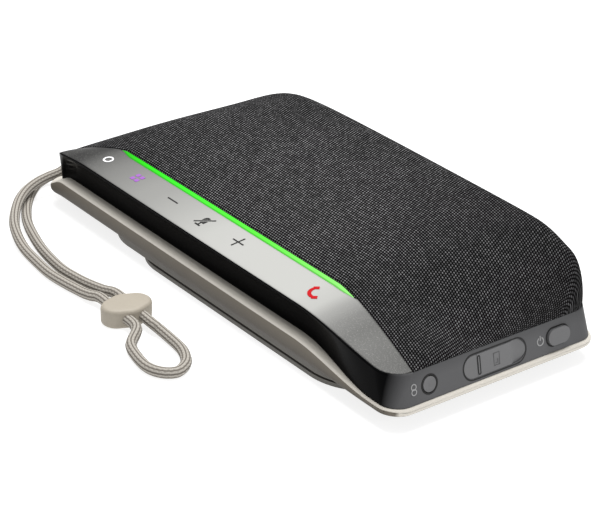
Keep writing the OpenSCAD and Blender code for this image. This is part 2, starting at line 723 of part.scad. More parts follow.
magnet_r = 11.5;
magnet_z = box_z - 1.2;
yoke_h = 4;
module driver_basket() {
  z = driver_z - flange_h;
  low = magnet_z + yoke_h;
  neck = magnet_r + 1.2;
  color([0.25, 0.25, 0.26]) translate([0, driver_y, 0]) difference() {
    rotate_extrude() polygon([[driver_r, z], [driver_r, driver_z], [driver_r - 5, driver_z],
      [driver_r - 5, z], [neck, low + 1.2], [7.6, low + 1.2], [7.6, low], [neck + 0.6, low],
      [driver_r - 3.4, z]]);
    for (a = [0 : 60 : 300]) rotate(a + 30) translate([neck + 2.3, 0, low + 1.4]) cylinder(d = 2.6, h = 5);
    for (a = [45 : 90 : 315]) rotate(a) translate([driver_r - 1.6, 0, z - 1]) cylinder(d = 1.8, h = 5);
  }
}

module driver_magnet() {
  color([0.45, 0.45, 0.47]) translate([0, driver_y, magnet_z]) difference() {
    cylinder(r = magnet_r, h = yoke_h);
    translate([0, 0, 1]) difference() {
      cylinder(r = 7.2, h = 20);
      translate([0, 0, -1]) cylinder(r = 5.4, h = 20);
    }
  }
}

cone_r = driver_r - 8.4;
cone_t = 0.6;
throw = 1.5;
module driver_cone() {
  low = magnet_z + yoke_h + 3;
  high = driver_z - 1.2;
  coil_z = magnet_z + 1 + throw + 0.3;
  color([0.12, 0.12, 0.13]) translate([0, driver_y, 0]) rotate_extrude() polygon([
    [6, coil_z], [6.6, coil_z], [6.6, low],
    [cone_r, high - cone_t], [cone_r, high], [6.6, low + cone_t + 0.4], [3.2, low + 2.6],
    [0, low + 3], [0, low + 2.3], [3, low + 1.9], [6, low + 0.2]]);
}

module roll(r0, r1, z, t) {
  mid = (r0 + r1) / 2;
  rad = (r1 - r0) / 2;
  color([0.1, 0.1, 0.1]) rotate_extrude() translate([mid, z]) difference() {
    circle(r = rad, $fn = 32);
    circle(r = rad - t, $fn = 32);
    translate([-rad - 1, -2 * rad - 2]) square([2 * rad + 2, 2 * rad + 2]);
  }
}
module driver_surround() {
  translate([0, driver_y, 0]) roll(cone_r + 0.02, driver_r - 5.02, driver_z - 1, 0.5);
}

plate_r = radiator_r - 7;
module radiator_frame(s) {
  color([0.25, 0.25, 0.26]) translate([s * radiator_x, driver_y, radiator_z - flange_h]) difference() {
    cylinder(r = radiator_r, h = flange_h);
    translate([0, 0, -1]) cylinder(r = radiator_r - 3, h = 5);
  }
}
module radiator(s) {
  color([0.15, 0.15, 0.16]) translate([s * radiator_x, driver_y, radiator_z - 1.9]) {
    cylinder(r = plate_r, h = 1.2);
    translate([0, 0, -2]) cylinder(r = plate_r * 0.6, h = 2);
  }
}
module radiator_surround(s) {
  translate([s * radiator_x, driver_y, 0]) roll(plate_r + 0.02, radiator_r - 3.02, radiator_z - 1.2, 0.6);
}

module main_board() {
  color([0.08, 0.3, 0.18]) difference() {
    union() {
      translate([board_left, -board_w / 2, board_z]) cube([socket_x - 2.9 - board_left, board_w, 1.2]);
      translate([socket_x - 4.4, 19.5 - board_w / 2 - 10, board_z]) cube([10, board_w - 19, 1.2]);
    }
    translate([socket_x - fit_gap, socket_y - socket_w / 2 - fit_gap, board_z - 1])
      cube([20, socket_w + 2 * fit_gap, 4]);
    for (p = board_holes()) translate([p[0], p[1], board_z - 1]) cylinder(d = 2.2, h = 4);
  }
}
chip_z = board_z + 1.2;
module board_parts() {
  color([0.12, 0.12, 0.13]) {
    translate([-8, -22, chip_z]) cube([12, 12, 1.2]);
    translate([-12, 14, chip_z]) cube([9, 9, 1.1]);
    translate([22, 3.5 - board_w / 2, chip_z]) cube([7, 5, 1.1]);
    translate([26, 18, chip_z]) cube([10, 7, 1.2]);
  }
  color([0.8, 0.8, 0.78]) {
    translate([30, -12, chip_z]) cube([8, 6, 2.4]);
    translate([-20, -5, chip_z]) cube([5, 10, 2.6]);
    translate([46, 18, chip_z]) cube([12, 5, 2.6]);
    translate([4, board_w / 2 - 5.5, chip_z]) cube([14, 4, 1.6]);
  }
}

tray_x = 3.6 - screw_x;                         // tray's end beside the case screws
tray_l = board_left - 2.4 - tray_x;
tray_w = case_w - 14.5;
tray_wall = 1.2;
module battery_tray() {
  color(black) translate([tray_x, case_y + 1.5 - tray_w / 2, case_z + case_wall]) difference() {
    cube([tray_l, tray_w, 4]);
    translate([tray_wall, tray_wall, 0.8]) cube([tray_l - 2 * tray_wall, tray_w - 2 * tray_wall, 5]);
  }
}
module battery_pack() {
  in = tray_wall + 0.2;
  color([0.55, 0.57, 0.6]) translate([tray_x + in, case_y + 1.5 - tray_w / 2 + in, case_z + case_wall + 0.9])
    cube([tray_l - 2 * in, tray_w - 2 * in, case_top - case_z - case_wall - 2.2]);
}

module mic(x, y) {
  top = box_z + box_t;
  color([0.2, 0.2, 0.2]) translate([x, y, top]) difference() {
    cylinder(d = 8, h = 3);
    translate([0, 0, 1.6]) cylinder(d = 1.6, h = 5);
  }
  color([0.8, 0.8, 0.78]) translate([x - 1.9, y - 1.5, top + 3]) difference() {
    cube([3.8, 3, 1]);
    translate([1.9, 1.5, -1]) cylinder(d = 0.8, h = 5);
  }
}

// ---- screws ----------------------------------------------------------------------------------

module screw(head_d, head_h, d, l) {
  difference() {
    cylinder(d = head_d, h = head_h);
    translate([0, 0, head_h - 0.5]) cylinder(d = head_d * 0.5, h = 1, $fn = 6);
  }
  translate([0, 0, -l]) cylinder(d = d, h = l + 0.01);
}
module board_screws() {
  color([0.6, 0.6, 0.62]) for (p = board_holes()) translate([p[0], p[1], chip_z]) screw(3.2, 1.1, 1.6, 3);
}
module case_screws() {
  color([0.6, 0.6, 0.62]) at_corners() translate([0, 0, case_z + 2.2]) rotate([180, 0, 0])
    screw(4.4, 1.4, 2, box_z + box_t - case_z - 2.6);
}
module driver_screws() {
  color([0.6, 0.6, 0.62]) translate([0, driver_y, 0]) for (a = [45 : 90 : 315]) rotate(a)
    translate([driver_r - 1.6, 0, driver_z]) screw(2.8, 0.9, 1.3, 4.5);
}

// ---- lanyard ---------------------------------------------------------------------------------

clamp_x = -82.2;
clamp_t = 2.6;
module lanyard_clamp() {
  w = cord_pitch + cord_d + 1;
  color(black) translate([clamp_x, cord_y - w / 2, case_z + case_wall + 0.05])
    cube([clamp_t, w, case_top - case_z - case_wall - 0.3]);
}

cord_r = cord_d / 2;
slider_at = [-7.1, -62.3];
slider_turn = -4;       // heading of the cords through the slider
slider_pitch = 5.4;     // distance between its two holes
slider_end_d = 0.78 * slider_w;     // rounding of its ends
slider_run = slider_w / 2 + 4.6;    // straight stretch of the cords on each side of its middle
// Point on a strand near the slider: t along the strands, k = -1 or 1 for the outer or inner one
function strand(t, k, z) = [slider_at[0] + t * cos(slider_turn) - k * slider_pitch / 2 * sin(slider_turn),
  slider_at[1] + t * sin(slider_turn) + k * slider_pitch / 2 * cos(slider_turn), z];
hole_z = slider_h / 2;
exit_y = [cord_y - cord_pitch / 2, cord_y + cord_pitch / 2];
// Route of the cord, from one end of the clamp round the loop and back to the other
route = [[clamp_x, exit_y[0], cord_z], [-88, exit_y[0], cord_z], [-91.6, -28, 9.8],
  [-93.1, -31.6, 7.4], [-93.5, -36.1, 6.6], [-92.8, -41.2, 6], [-90.2, -46.7, 5.6], [-85.4, -52.3, 5.4],
  [-79, -57.6, 5.1], [-72.9, -61.5, 4.4], [-67, -63.8, 3.2], [-60.6, -65.2, 2], [-52.2, -66.3, cord_r],
  [-42.6, -67.2, cord_r], [-34.2, -66.6, cord_r], [-26.7, -65.5, cord_r], [-22.4, -65.2, 2.4],
  strand(-slider_run, -1, hole_z), strand(0, -1, hole_z), strand(slider_run, -1, hole_z),
  [9.7, -71.9, 2.2], [16.5, -74, cord_r], [22.3, -74.7, cord_r], [26.2, -73.6, cord_r],
  [28.8, -71.2, cord_r], [29.3, -68.1, cord_r], [26.3, -63.8, cord_r], [20.5, -60.9, cord_r],
  [13.4, -59.8, cord_r], [6.9, -59.7, 2.2], strand(slider_run, 1, hole_z), strand(0, 1, hole_z),
  strand(-slider_run, 1, hole_z), [-23.6, -60.2, 2.3], [-32.8, -61.7, cord_r], [-43, -62.5, cord_r],
  [-56.3, -60.8, cord_r], [-68.1, -57.6, cord_r], [-77.1, -54.2, cord_r], [-84.8, -49.9, cord_r],
  [-90.8, -45.5, cord_r], [-95.7, -41.1, cord_r], [-99.8, -36.1, cord_r], [-100.3, -32, 2.8],
  [-98.2, -28.5, 4.6], [-96.6, -25.6, 7], [-92.6, -23.4, 9.8], [-88, exit_y[1], cord_z],
  [clamp_x, exit_y[1], cord_z]];

tube_sides = 8;
module lanyard_cord() {
  path = route;
  n = len(path);
  rings = [for (i = [0 : n - 1]) let(h = heading(path[max(0, i - 1)], path[min(n - 1, i + 1)]),
    side = let(c = cross(h, [0, 0, 1])) c / norm(c), up = cross(side, h))
    [for (k = [0 : tube_sides - 1]) let(a = 360 * (k + 0.5) / tube_sides)
      path[i] + cord_r * (cos(a) * side + sin(a) * up)]];
  pts = [for (r = rings) each r];
  walls = [for (i = [0 : n - 2], k = [0 : tube_sides - 1])
    let(a = i * tube_sides + k, b = i * tube_sides + (k + 1) % tube_sides,
        c = b + tube_sides, d = a + tube_sides) each [[a, b, c], [a, c, d]]];
  caps = [[for (k = [tube_sides - 1 : -1 : 0]) k],
    [for (k = [0 : tube_sides - 1]) (n - 1) * tube_sides + k]];
  color(beige) polyhedron(pts, concat(walls, caps), convexity = 6);
}

module cord_slider() {
  color(beige) translate([slider_at[0], slider_at[1], 0]) rotate(slider_turn) difference() {
    linear_extrude(slider_h) hull() {
      circle(d = slider_w);
      for (s = [-1, 1]) translate([0, s * (slider_l - slider_end_d) / 2]) circle(d = slider_end_d);
    }
    for (s = [-1, 1]) translate([0, s * slider_pitch / 2, hole_z]) rotate([0, 90, 0])
      cylinder(r = cord_r + 0.15, h = 2 * slider_w, center = true);
  }
}

foot_pad();
foot_plate();
base_boot();
cable_gland();
lower_case();
case_gasket();
side_band();
speaker_box();
grille_plate();
fabric_cover();
strip_carrier();
touch_strip();
light_bar();
strip_marks();
touch_board();
led_board();
pair_button();
power_button();
key_board();
key_switches();
band_marks();
port_cover();
port_tab();
usb_socket();
main_board();
board_parts();
battery_pack();
battery_tray();
driver_basket();
driver_magnet();
driver_cone();
driver_surround();
radiator_frame(-1);  // radiator_frame_left
radiator(-1);  // radiator_left
radiator_surround(-1);  // radiator_surround_left
radiator_frame(1);  // radiator_frame_right
radiator(1);  // radiator_right
radiator_surround(1);  // radiator_surround_right
mic(-radiator_x - 21, -6);  // mic_left
mic(26, -15);  // mic_middle
mic(radiator_x + 19, -4);  // mic_right
board_screws();
case_screws();
driver_screws();
lanyard_clamp();
lanyard_cord();
cord_slider();
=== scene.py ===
"""Conference speakerphone: cloth, touch strip, band, boot, keys and lanyard, laid out as an add-on."""
import bpy
import numpy as np
from bpy.props import FloatProperty, FloatVectorProperty, PointerProperty
from mathutils import Matrix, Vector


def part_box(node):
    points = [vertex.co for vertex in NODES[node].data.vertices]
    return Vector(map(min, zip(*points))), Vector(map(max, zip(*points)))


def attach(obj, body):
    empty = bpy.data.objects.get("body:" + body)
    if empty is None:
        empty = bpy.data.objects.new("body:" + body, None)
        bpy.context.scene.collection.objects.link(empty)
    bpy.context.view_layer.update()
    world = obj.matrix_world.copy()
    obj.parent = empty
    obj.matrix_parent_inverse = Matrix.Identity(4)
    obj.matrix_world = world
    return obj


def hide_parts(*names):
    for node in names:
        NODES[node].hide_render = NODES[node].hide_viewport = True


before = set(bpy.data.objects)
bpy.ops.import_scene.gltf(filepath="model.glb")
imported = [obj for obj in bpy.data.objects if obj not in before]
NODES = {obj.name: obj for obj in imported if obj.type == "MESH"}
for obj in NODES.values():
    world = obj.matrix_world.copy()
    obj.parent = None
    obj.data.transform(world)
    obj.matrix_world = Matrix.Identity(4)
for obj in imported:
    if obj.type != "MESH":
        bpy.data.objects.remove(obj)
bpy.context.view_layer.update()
BOOT_LOW, BOOT_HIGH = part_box("base_boot")
TOP_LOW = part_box("fabric_cover")[0]

bl_info = {
    "name": "Conference speakerphone",
    "version": (1, 0, 0),
    "blender": (4, 5, 0),
    "location": "View3D > Sidebar > Speakerphone",
    "description": "Builds the fabric top, touch strip, band, boot, keys and lanyard of a speakerphone",
    "category": "Object",
}


def size(name, text, value):
    """A length in metres."""
    return FloatProperty(name=name, description=text, default=value, min=0.0, unit="LENGTH", precision=5)


def tint(name, text, value):
    """A linear colour."""
    return FloatVectorProperty(name=name, description=text, default=value, min=0.0, max=1.0,
                               size=3, subtype="COLOR")


class SpeakerphoneSizes(bpy.types.PropertyGroup):
    """Lengths of the body."""
    half_length: size("Half length", "Half of the rim's length", float(BOOT_HIGH[0]))
    half_width: size("Half width", "Half of the rim's width", float(BOOT_HIGH[1]))
    rim_low: size("Rim height", "Underside of the rim above the table", float(BOOT_LOW[2]))
    band_top: size("Band height", "Top edge of the band at its ends", float(TOP_LOW[2]))
    rim_radius: size("Rim radius", "Corner radius of the rim", 0.0072)
    top_radius: size("Top radius", "Corner radius of the band's top edge", 0.008)
    strip_width: size("Strip width", "Width of the touch strip seen from above", 0.0164)
    bar_half: size("Half light bar", "Half length of the light bar", 0.0615)
    cord_diameter: size("Cord diameter", "Diameter of the lanyard cord", 0.0034)
    weave_along: size("Weave pitch along", "Pitch of the fabric's threads along the body", 0.001)
    weave_across: size("Weave pitch across", "Pitch of the fabric's threads across the body", 0.00077)


class SpeakerphoneColours(bpy.types.PropertyGroup):
    """Colours of the visible pieces."""
    cloth_dark: tint("Cloth ground", "Ground of the woven cloth", (0.0012, 0.0012, 0.0013))
    cloth_light: tint("Cloth fleck", "Flecks of the woven cloth", (0.30, 0.296, 0.302))
    # The strip's lit tone, and the painted shade of its tails.
    strip_light: tint("Strip", "Light part of the touch strip", (0.395, 0.395, 0.378))
    strip_shade: tint("Strip ends", "Darker ends of the touch strip", (0.024, 0.0238, 0.0234))
    glow: tint("Light bar", "Light of the bar", (0.05, 1.0, 0.03))
    # Fascia shade and end grey are the one dark band's painted shade along the front and painted light on its
    # ends.
    fascia_shade: tint("Fascia", "Gloss black front of the band", (0.0015, 0.0015, 0.0017))
    end_lit_grey: tint("End band", "Satin grey of the band's ends", (0.108, 0.108, 0.111))
    boot: tint("Boot", "Warm grey of the boot", (0.47, 0.445, 0.40))
    cord: tint("Cord", "Ground of the braided cord", (0.40, 0.375, 0.335))


def sizes():
    return bpy.context.scene.speakerphone_sizes


def colours():
    return bpy.context.scene.speakerphone_colours


# ---- shape of the body, in millimetres ---------------------------------------------------------

CROWN = 38.8          # crown height the top's slope aims at
FRONT_TURN = 8.7      # how far the cloth's front edge turns forward past a fold
EDGE_LIFT = 6.4       # cloth's front edge above the band's end edge
STRIP_LIFT = 4.6      # strip's lower edge above the band's end edge
FRONT_RISE = 4.3      # extra height of the boot along the front
RIM_HEIGHT = 2.1      # height of the boot's rim at the ends and the back
BAND_STEP = 0.9       # band's foot inside the rim
FRONT_STEP = 3.1      # extra step of the band's foot along the front
BAND_LEAN = 2.1       # inward lean of the band at the ends
TOP_IN_Y = 1.4        # inward lean of the band at the front and the back
SIDE_BOW = 0.2        # how much less wide the body is at its ends
LIGHT_MID = -7.5      # middle of the light bar
LIGHT_SHARE = 0.16    # light bar's share of the strip's width
LIGHT_TAPER = 9.0     # length over which the bar narrows at each end
BACK_ROLL = 9.0       # rolled edge of the top along the back
END_ROLL = 8.5        # rolled edge of the top at the key end
FAR_ROLL = 1.5        # rolled edge of the top at the lanyard end
STRIP_CROWN = 0.35    # bulge of the strip's face
STRIP_EDGE = 0.6      # rounding of the strip's lower edge
CLOTH_EDGE = 0.7      # rounding of the cloth's front edge
CLOTH_LIFT = 0.1      # cloth above the solid's top
CLOTH_WALL = 0.8      # thickness of the cloth
BOOT_EDGE = 0.8       # rounding of the boot's top edge
KEY_Z = 11.9          # height of the keys' middle
LONG_N, CORNER_N, END_N = 90, 14, 6   # outline's points along a long side, a corner and an end


class Form:
    """The body's numbers in millimetres, read once from the size settings."""

    def __init__(self):
        s = sizes()
        self.half_l = s.half_length * 1000
        self.half_w = s.half_width * 1000
        self.base_z = s.rim_low * 1000
        self.band_z = s.band_top * 1000
        self.rim_r = s.rim_radius * 1000
        self.top_r = s.top_radius * 1000
        self.dome_x = self.half_l - BAND_STEP - BAND_LEAN
        self.front_y = -(self.half_w - TOP_IN_Y) + s.strip_width * 1000
        self.edge_z = self.band_z + EDGE_LIFT
        self.crown_y = self.half_w - 8
        self.crest_x = self.dome_x - self.top_r
        self.crest_y = self.half_at(self.crest_x) - TOP_IN_Y - self.top_r
        self.strip_r = self.top_r - 0.38
        self.light_half = s.bar_half * 1000

    def half_at(self, x):
        """Half width: full in the middle, less by the bow with the square of the distance."""
        return self.half_w - SIDE_BOW * (x / self.half_l) ** 2

    def past_fold(self, x):
        """Share of the way from a fold to the end: 0 up to 45 mm at the key end or 66 mm at the other."""
        f = np.where(x > 0, 45.0, 66.0)
        return np.clip((np.abs(x) - f) / (self.dome_x - f), 0, 1)

    def front_at(self, x):
        """Front edge of the cloth: straight, then forward with the 1.2th power of the fold share."""
        return self.front_y - FRONT_TURN * self.past_fold(x) ** 1.2

    def slope_z(self, y):
        """Middle of the top: a slope whose height is u (1.37 - 0.37 u) of the rise, u from front to crown."""
        u = (y - self.front_y) / (self.crown_y - self.front_y)
        return self.edge_z + (CROWN + 0.2 - self.edge_z) * u * (1.37 - 0.37 * u)

    def top_z(self, x, y):
        """Slope less the key end's fall, blended with the plane that climbs 0.6 per mm from the other end.

        The blend of a and b is half of a + b less the root of (a - b) squared and s squared, where s grows
        from 2.5 at the front to 6.5 at the back.
        """
        u = x - 60.7 - 0.29 * y
        a = self.slope_z(y) - (0.07 + 0.38 * smooth((y + 26) / 24)) * (u + np.sqrt(u * u + 16)) / 2
        b = self.band_z + 0.6 + 0.6 * (x + self.dome_x)
        s = 2.5 + 4 * smooth((y + 10) / 40)
        return (a + b - np.sqrt((a - b) ** 2 + s * s)) / 2

    def end_x(self, y):
        """Half length of the top at y, with the front corners' arcs."""
        d = np.maximum(0, -y - self.crest_y)
        return self.crest_x + np.sqrt(np.maximum(self.top_r ** 2 - d * d, 0))

    def back_y(self, x):
        """Back edge of the top at x, with the back corners' arcs."""
        a = np.clip((np.abs(x) - self.crest_x) / self.top_r, 0, 1)
        return (self.half_at(np.minimum(np.abs(x), self.crest_x)) - TOP_IN_Y - self.top_r
                + self.top_r * np.sqrt(1 - a * a))

    def dome_z(self, x, y):
        """Top height times a rolled edge along the back and at both ends."""
        yb, xe = self.back_y(x), self.end_x(y)
        return (self.band_z + np.maximum(0, self.top_z(x, y) - self.band_z)
                * rolled((y - yb + BACK_ROLL) / BACK_ROLL) * rolled((x - xe + END_ROLL) / END_ROLL)
                * rolled((-x - xe + FAR_ROLL) / FAR_ROLL))

    def strip_low(self, x):
        """Lower edge of the strip, round the band's corners."""
        a = np.maximum(0, np.abs(x) - self.crest_x)
        y = (-(self.half_at(np.minimum(np.abs(x), self.crest_x)) - TOP_IN_Y - self.top_r)
             - np.sqrt(np.maximum(self.strip_r ** 2 - a * a, 0)))
        return y, self.low_z(x)

    def low_z(self, x):
        """Height of the band's top edge along the front: lifted, and let down past the folds.

        At the key end it falls by the whole lift, at the other end by 0.3 of it and then to nothing
        over the last 9 mm.
        """
        fall = smooth(self.past_fold(x))
        left = (1 - 0.3 * fall) * (1 - smooth((9 - self.half_l - x) / 7))
        return self.band_z + STRIP_LIFT * np.where(x > 0, 1 - fall, left)

    def strip_point(self, x, s, lift=0.0):
        """Point of the strip's face at share s of its width: straight across, plus 4 s (1 - s) of the bulge."""
        y0, z0 = self.strip_low(x)
        y1 = self.front_at(x) - 0.1
        z1 = self.top_z(x, self.front_at(x))
        c = STRIP_CROWN * 4 * s * (1 - s) * np.hypot(y1 - y0, z1 - z0) / 16
        return np.stack([x + 0 * s, y0 + (y1 - y0) * s - 0.1 * c, z0 + (z1 - z0) * s + c + lift], -1)

    def bar_share(self, x):
        """Share of the width that is strip: one less the bar's share times 1 - (1 - t)^1.7.

        t goes from 0 at the bar's end to 1 where the taper stops.
        """
        left = np.clip((self.light_half + 0.5 - np.abs(x - LIGHT_MID)) / LIGHT_TAPER, 0, 1)
        return 1 - LIGHT_SHARE * (1 - (1 - left) ** 1.7)

    def strip_end(self):
        """Half length of the strip: where the corner's arc reaches the cloth's front edge."""
        return self.crest_x + np.sqrt(self.strip_r ** 2 - (self.crest_y + self.front_y - FRONT_TURN - 0.8) ** 2)

    def rise(self, x, y):
        """Share of the boot's front rise: a smooth fall past the fold and at the lanyard's corner."""
        t = 1 - smooth(np.where(x > 0, 1.2 * self.past_fold(x), (12 - self.half_l - x) / 11))
        return np.where(y > -self.half_w / 2, 0, t)

    def inset(self, x, y):
        """Step from the rim to the band: more with the rise, and kept round the lanyard's front corner."""
        corner = np.where(y > -self.half_w / 2, 0.0, 1 - smooth((y + 37) / 12))
        return BAND_STEP + FRONT_STEP * np.where(x > 0, self.rise(x, y), corner)

    def seam_z(self, x, y):
        """Height of the seam between boot and band."""
        return self.base_z + RIM_HEIGHT + FRONT_RISE * self.rise(x, y)

    def outline(self, length, inset, r):
        """Rounded outline as x, y and inward directions, counterclockwise from the front left corner."""
        parts = []

        def side(sign):
            x = sign * (length - r) * np.linspace(-1, 1, LONG_N, endpoint=False)
            parts.append(np.stack([x, -sign * (self.half_at(x) - inset), 0 * x, sign + 0 * x], -1))

        def corner(cx, cy, a0):
            a = np.radians(a0 + np.linspace(0, 90, CORNER_N, endpoint=False))
            parts.append(np.stack([cx + r * np.cos(a), cy + r * np.sin(a), -np.cos(a), -np.sin(a)], -1))

        def end(sign, y):
            v = sign * y * np.linspace(-1, 1, END_N, endpoint=False)
            parts.append(np.stack([sign * length + 0 * v, v, -sign + 0 * v, 0 * v], -1))

        x = length - r
        y = float(self.half_at(x)) - inset - r
        side(1)
        corner(x, -y, -90)
        end(1, y)
        corner(x, y, 0)
        side(-1)
        corner(-x, y, 90)
        end(-1, y)
        corner(-x, -y, 180)
        return np.concatenate(parts)


def smooth(t):
    """Smooth step: 3 t squared less 2 t cubed."""
    t = np.clip(t, 0, 1)
    return t * t * (3 - 2 * t)


def rolled(b):
    """Superellipse fall from 1 to 0: (1 - b^2.6)^(1/2.2)."""
    b = np.clip(b, 0, 1)
    return np.maximum(0, 1 - b ** 2.6) ** (1 / 2.2)


def spread(s):
    """Stations that crowd towards both ends: s (1.35 - 0.35 s squared)."""
    return s * (1.35 - 0.35 * s * s)


# ---- meshes ------------------------------------------------------------------------------------

def grid_faces(m, n, wrap=False):
    """Quads of an m by n grid; with wrap the second direction closes on itself."""
    cols = n if wrap else n - 1
    i, j = np.meshgrid(np.arange(m - 1), np.arange(cols), indexing="ij")
    k = (j + 1) % n
    return np.stack([i * n + j, (i + 1) * n + j, (i + 1) * n + k, i * n + k], -1).reshape(-1, 4)


def make(name, verts, faces, body, uv=None, flip=False, flat=False):
    """Mesh object from points in millimetres, one or more arrays of faces and one UV per point."""
    mesh = bpy.data.meshes.new(name)
    rows = []
    for group in faces if isinstance(faces, list) else [faces]:
        rows += (group[:, ::-1] if flip else group).tolist()
    mesh.from_pydata((np.asarray(verts).reshape(-1, 3) * 0.001).tolist(), [], rows)
    if uv is not None:
        layer = mesh.uv_layers.new(name="UVMap")
        loops = np.empty(len(mesh.loops), dtype=np.int32)
        mesh.loops.foreach_get("vertex_index", loops)
        layer.data.foreach_set("uv", np.asarray(uv, dtype=np.float32).reshape(-1, 2)[loops].ravel())
    mesh.polygons.foreach_set("use_smooth", np.full(len(mesh.polygons), not flat))
    mesh.validate()
    mesh.update()
    obj = bpy.data.objects.new(name, mesh)
    bpy.context.scene.collection.objects.link(obj)
    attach(obj, body)
    return obj


def walls(obj, thickness):
    """Gives an open sheet a wall of that many millimetres under its face."""
    m = obj.modifiers.new("Wall", "SOLIDIFY")
    m.thickness = thickness * 0.001
    m.offset = -1.0
    m.use_even_offset = True


def finish_with(obj, material):
    """Leaves the object with this one material."""
    obj.data.materials.clear()
    obj.data.materials.append(material)


def arc_uv(points):
    """Lengths along both directions of a grid, in millimetres, the first from its middle."""
    a = np.linalg.norm(np.diff(points, axis=0), axis=-1)
    u = np.concatenate([np.zeros((1, points.shape[1])), np.cumsum(a, axis=0)])
    u = u - u[points.shape[0] // 2][None, :]
    b = np.linalg.norm(np.diff(points, axis=1), axis=-1)
    v = np.concatenate([np.zeros((points.shape[0], 1)), np.cumsum(b, axis=1)], axis=1)
    return np.stack([u, v], -1)


# ---- materials ---------------------------------------------------------------------------------

class Nodes:
    """Short calls for building a material's nodes."""

    def __init__(self, name):
        self.mat = bpy.data.materials.new(name)
        self.mat.use_nodes = True
        self.tree = self.mat.node_tree
        self.tree.nodes.clear()
        self.out = self.tree.nodes.new("ShaderNodeOutputMaterial")
        self.shader = self.tree.nodes.new("ShaderNodeBsdfPrincipled")
        self.link(self.shader.outputs[0], self.out.inputs["Surface"])

    def node(self, kind, **values):
        n = self.tree.nodes.new(kind)
        for k, v in values.items():
            setattr(n, k, v)
        return n

    def link(self, a, b):
        self.tree.links.new(a, b)

    def put(self, socket, value):
        if isinstance(value, bpy.types.NodeSocket):
            self.link(value, socket)
        else:
            socket.default_value = value

    def math(self, op, a, b=0.0, clamp=False):
        n = self.node("ShaderNodeMath", operation=op, use_clamp=clamp)
        self.put(n.inputs[0], a)
        self.put(n.inputs[1], b)
        return n.outputs[0]

    def mix(self, f, a, b):
        n = self.node("ShaderNodeMix", data_type="RGBA")
        self.put(n.inputs[0], f)
        self.put(n.inputs[6], a if isinstance(a, bpy.types.NodeSocket) else (*a, 1))
        self.put(n.inputs[7], b if isinstance(b, bpy.types.NodeSocket) else (*b, 1))
        return n.outputs[2]

    def place(self, kind="Object"):
        return self.node("ShaderNodeTexCoord").outputs[kind]

    def split(self, vector):
        n = self.node("ShaderNodeSeparateXYZ")
        self.link(vector, n.inputs[0])
        return n.outputs

    def noise(self, scale, detail=3.0, vector=None):
        n = self.node("ShaderNodeTexNoise")
        n.inputs["Scale"].default_value = scale
        n.inputs["Detail"].default_value = detail
        self.link(vector if vector is not None else self.place(), n.inputs["Vector"])
        return n.outputs["Fac"]

    def ramp(self, f, stops, kind="LINEAR"):
        n = self.node("ShaderNodeValToRGB")
        n.color_ramp.interpolation = kind
        while len(n.color_ramp.elements) > 1:
            n.color_ramp.elements.remove(n.color_ramp.elements[0])
        n.color_ramp.elements[0].position = stops[0][0]
        n.color_ramp.elements[0].color = (*stops[0][1], 1)
        for p, c in stops[1:]:
            n.color_ramp.elements.new(p).color = (*c, 1)
        self.put(n.inputs[0], f)
        return n.outputs[0]

    def range(self, v, a, b, low=0.0, high=1.0):
        n = self.node("ShaderNodeMapRange", clamp=True)
        self.put(n.inputs[0], v)
        for k, q in enumerate((a, b, low, high)):
            n.inputs[k + 1].default_value = q
        return n.outputs[0]

    def bump(self, height, distance, strength=1.0):
        n = self.node("ShaderNodeBump")
        n.inputs["Strength"].default_value = strength
        n.inputs["Distance"].default_value = distance
        self.link(height, n.inputs["Height"])
        self.link(n.outputs[0], self.shader.inputs["Normal"])

    def set(self, **values):
        for k, v in values.items():
            self.put(self.shader.inputs[k.replace("_", " ")], v)


def moulded(name, colour, rough=0.5, vary=0.12, grain=900.0, depth=0.00002, metal=0.0, coat=0.0, big=60.0):
    """Moulded finish: slow and fine noise in its colour, its roughness and its height."""
    n = Nodes(name)
    f = n.noise(big, 2.0)
    g = n.noise(grain, 4.0)
    dark = tuple(c * (1 - vary) for c in colour)
    light = tuple(min(1.0, c * (1 + vary)) for c in colour)
    h = n.math("ADD", n.math("MULTIPLY", f, 0.6), n.math("MULTIPLY", g, 0.4))
    n.set(Base_Color=n.mix(n.range(h, 0.3, 0.7), dark, light), Metallic=metal,
          Roughness=n.range(g, 0.3, 0.7, max(rough - 0.06, 0.02), min(rough + 0.06, 1.0)))
    if coat:
        n.set(Coat_Weight=coat, Coat_Roughness=0.05)
    n.bump(g, depth)
    return n.mat


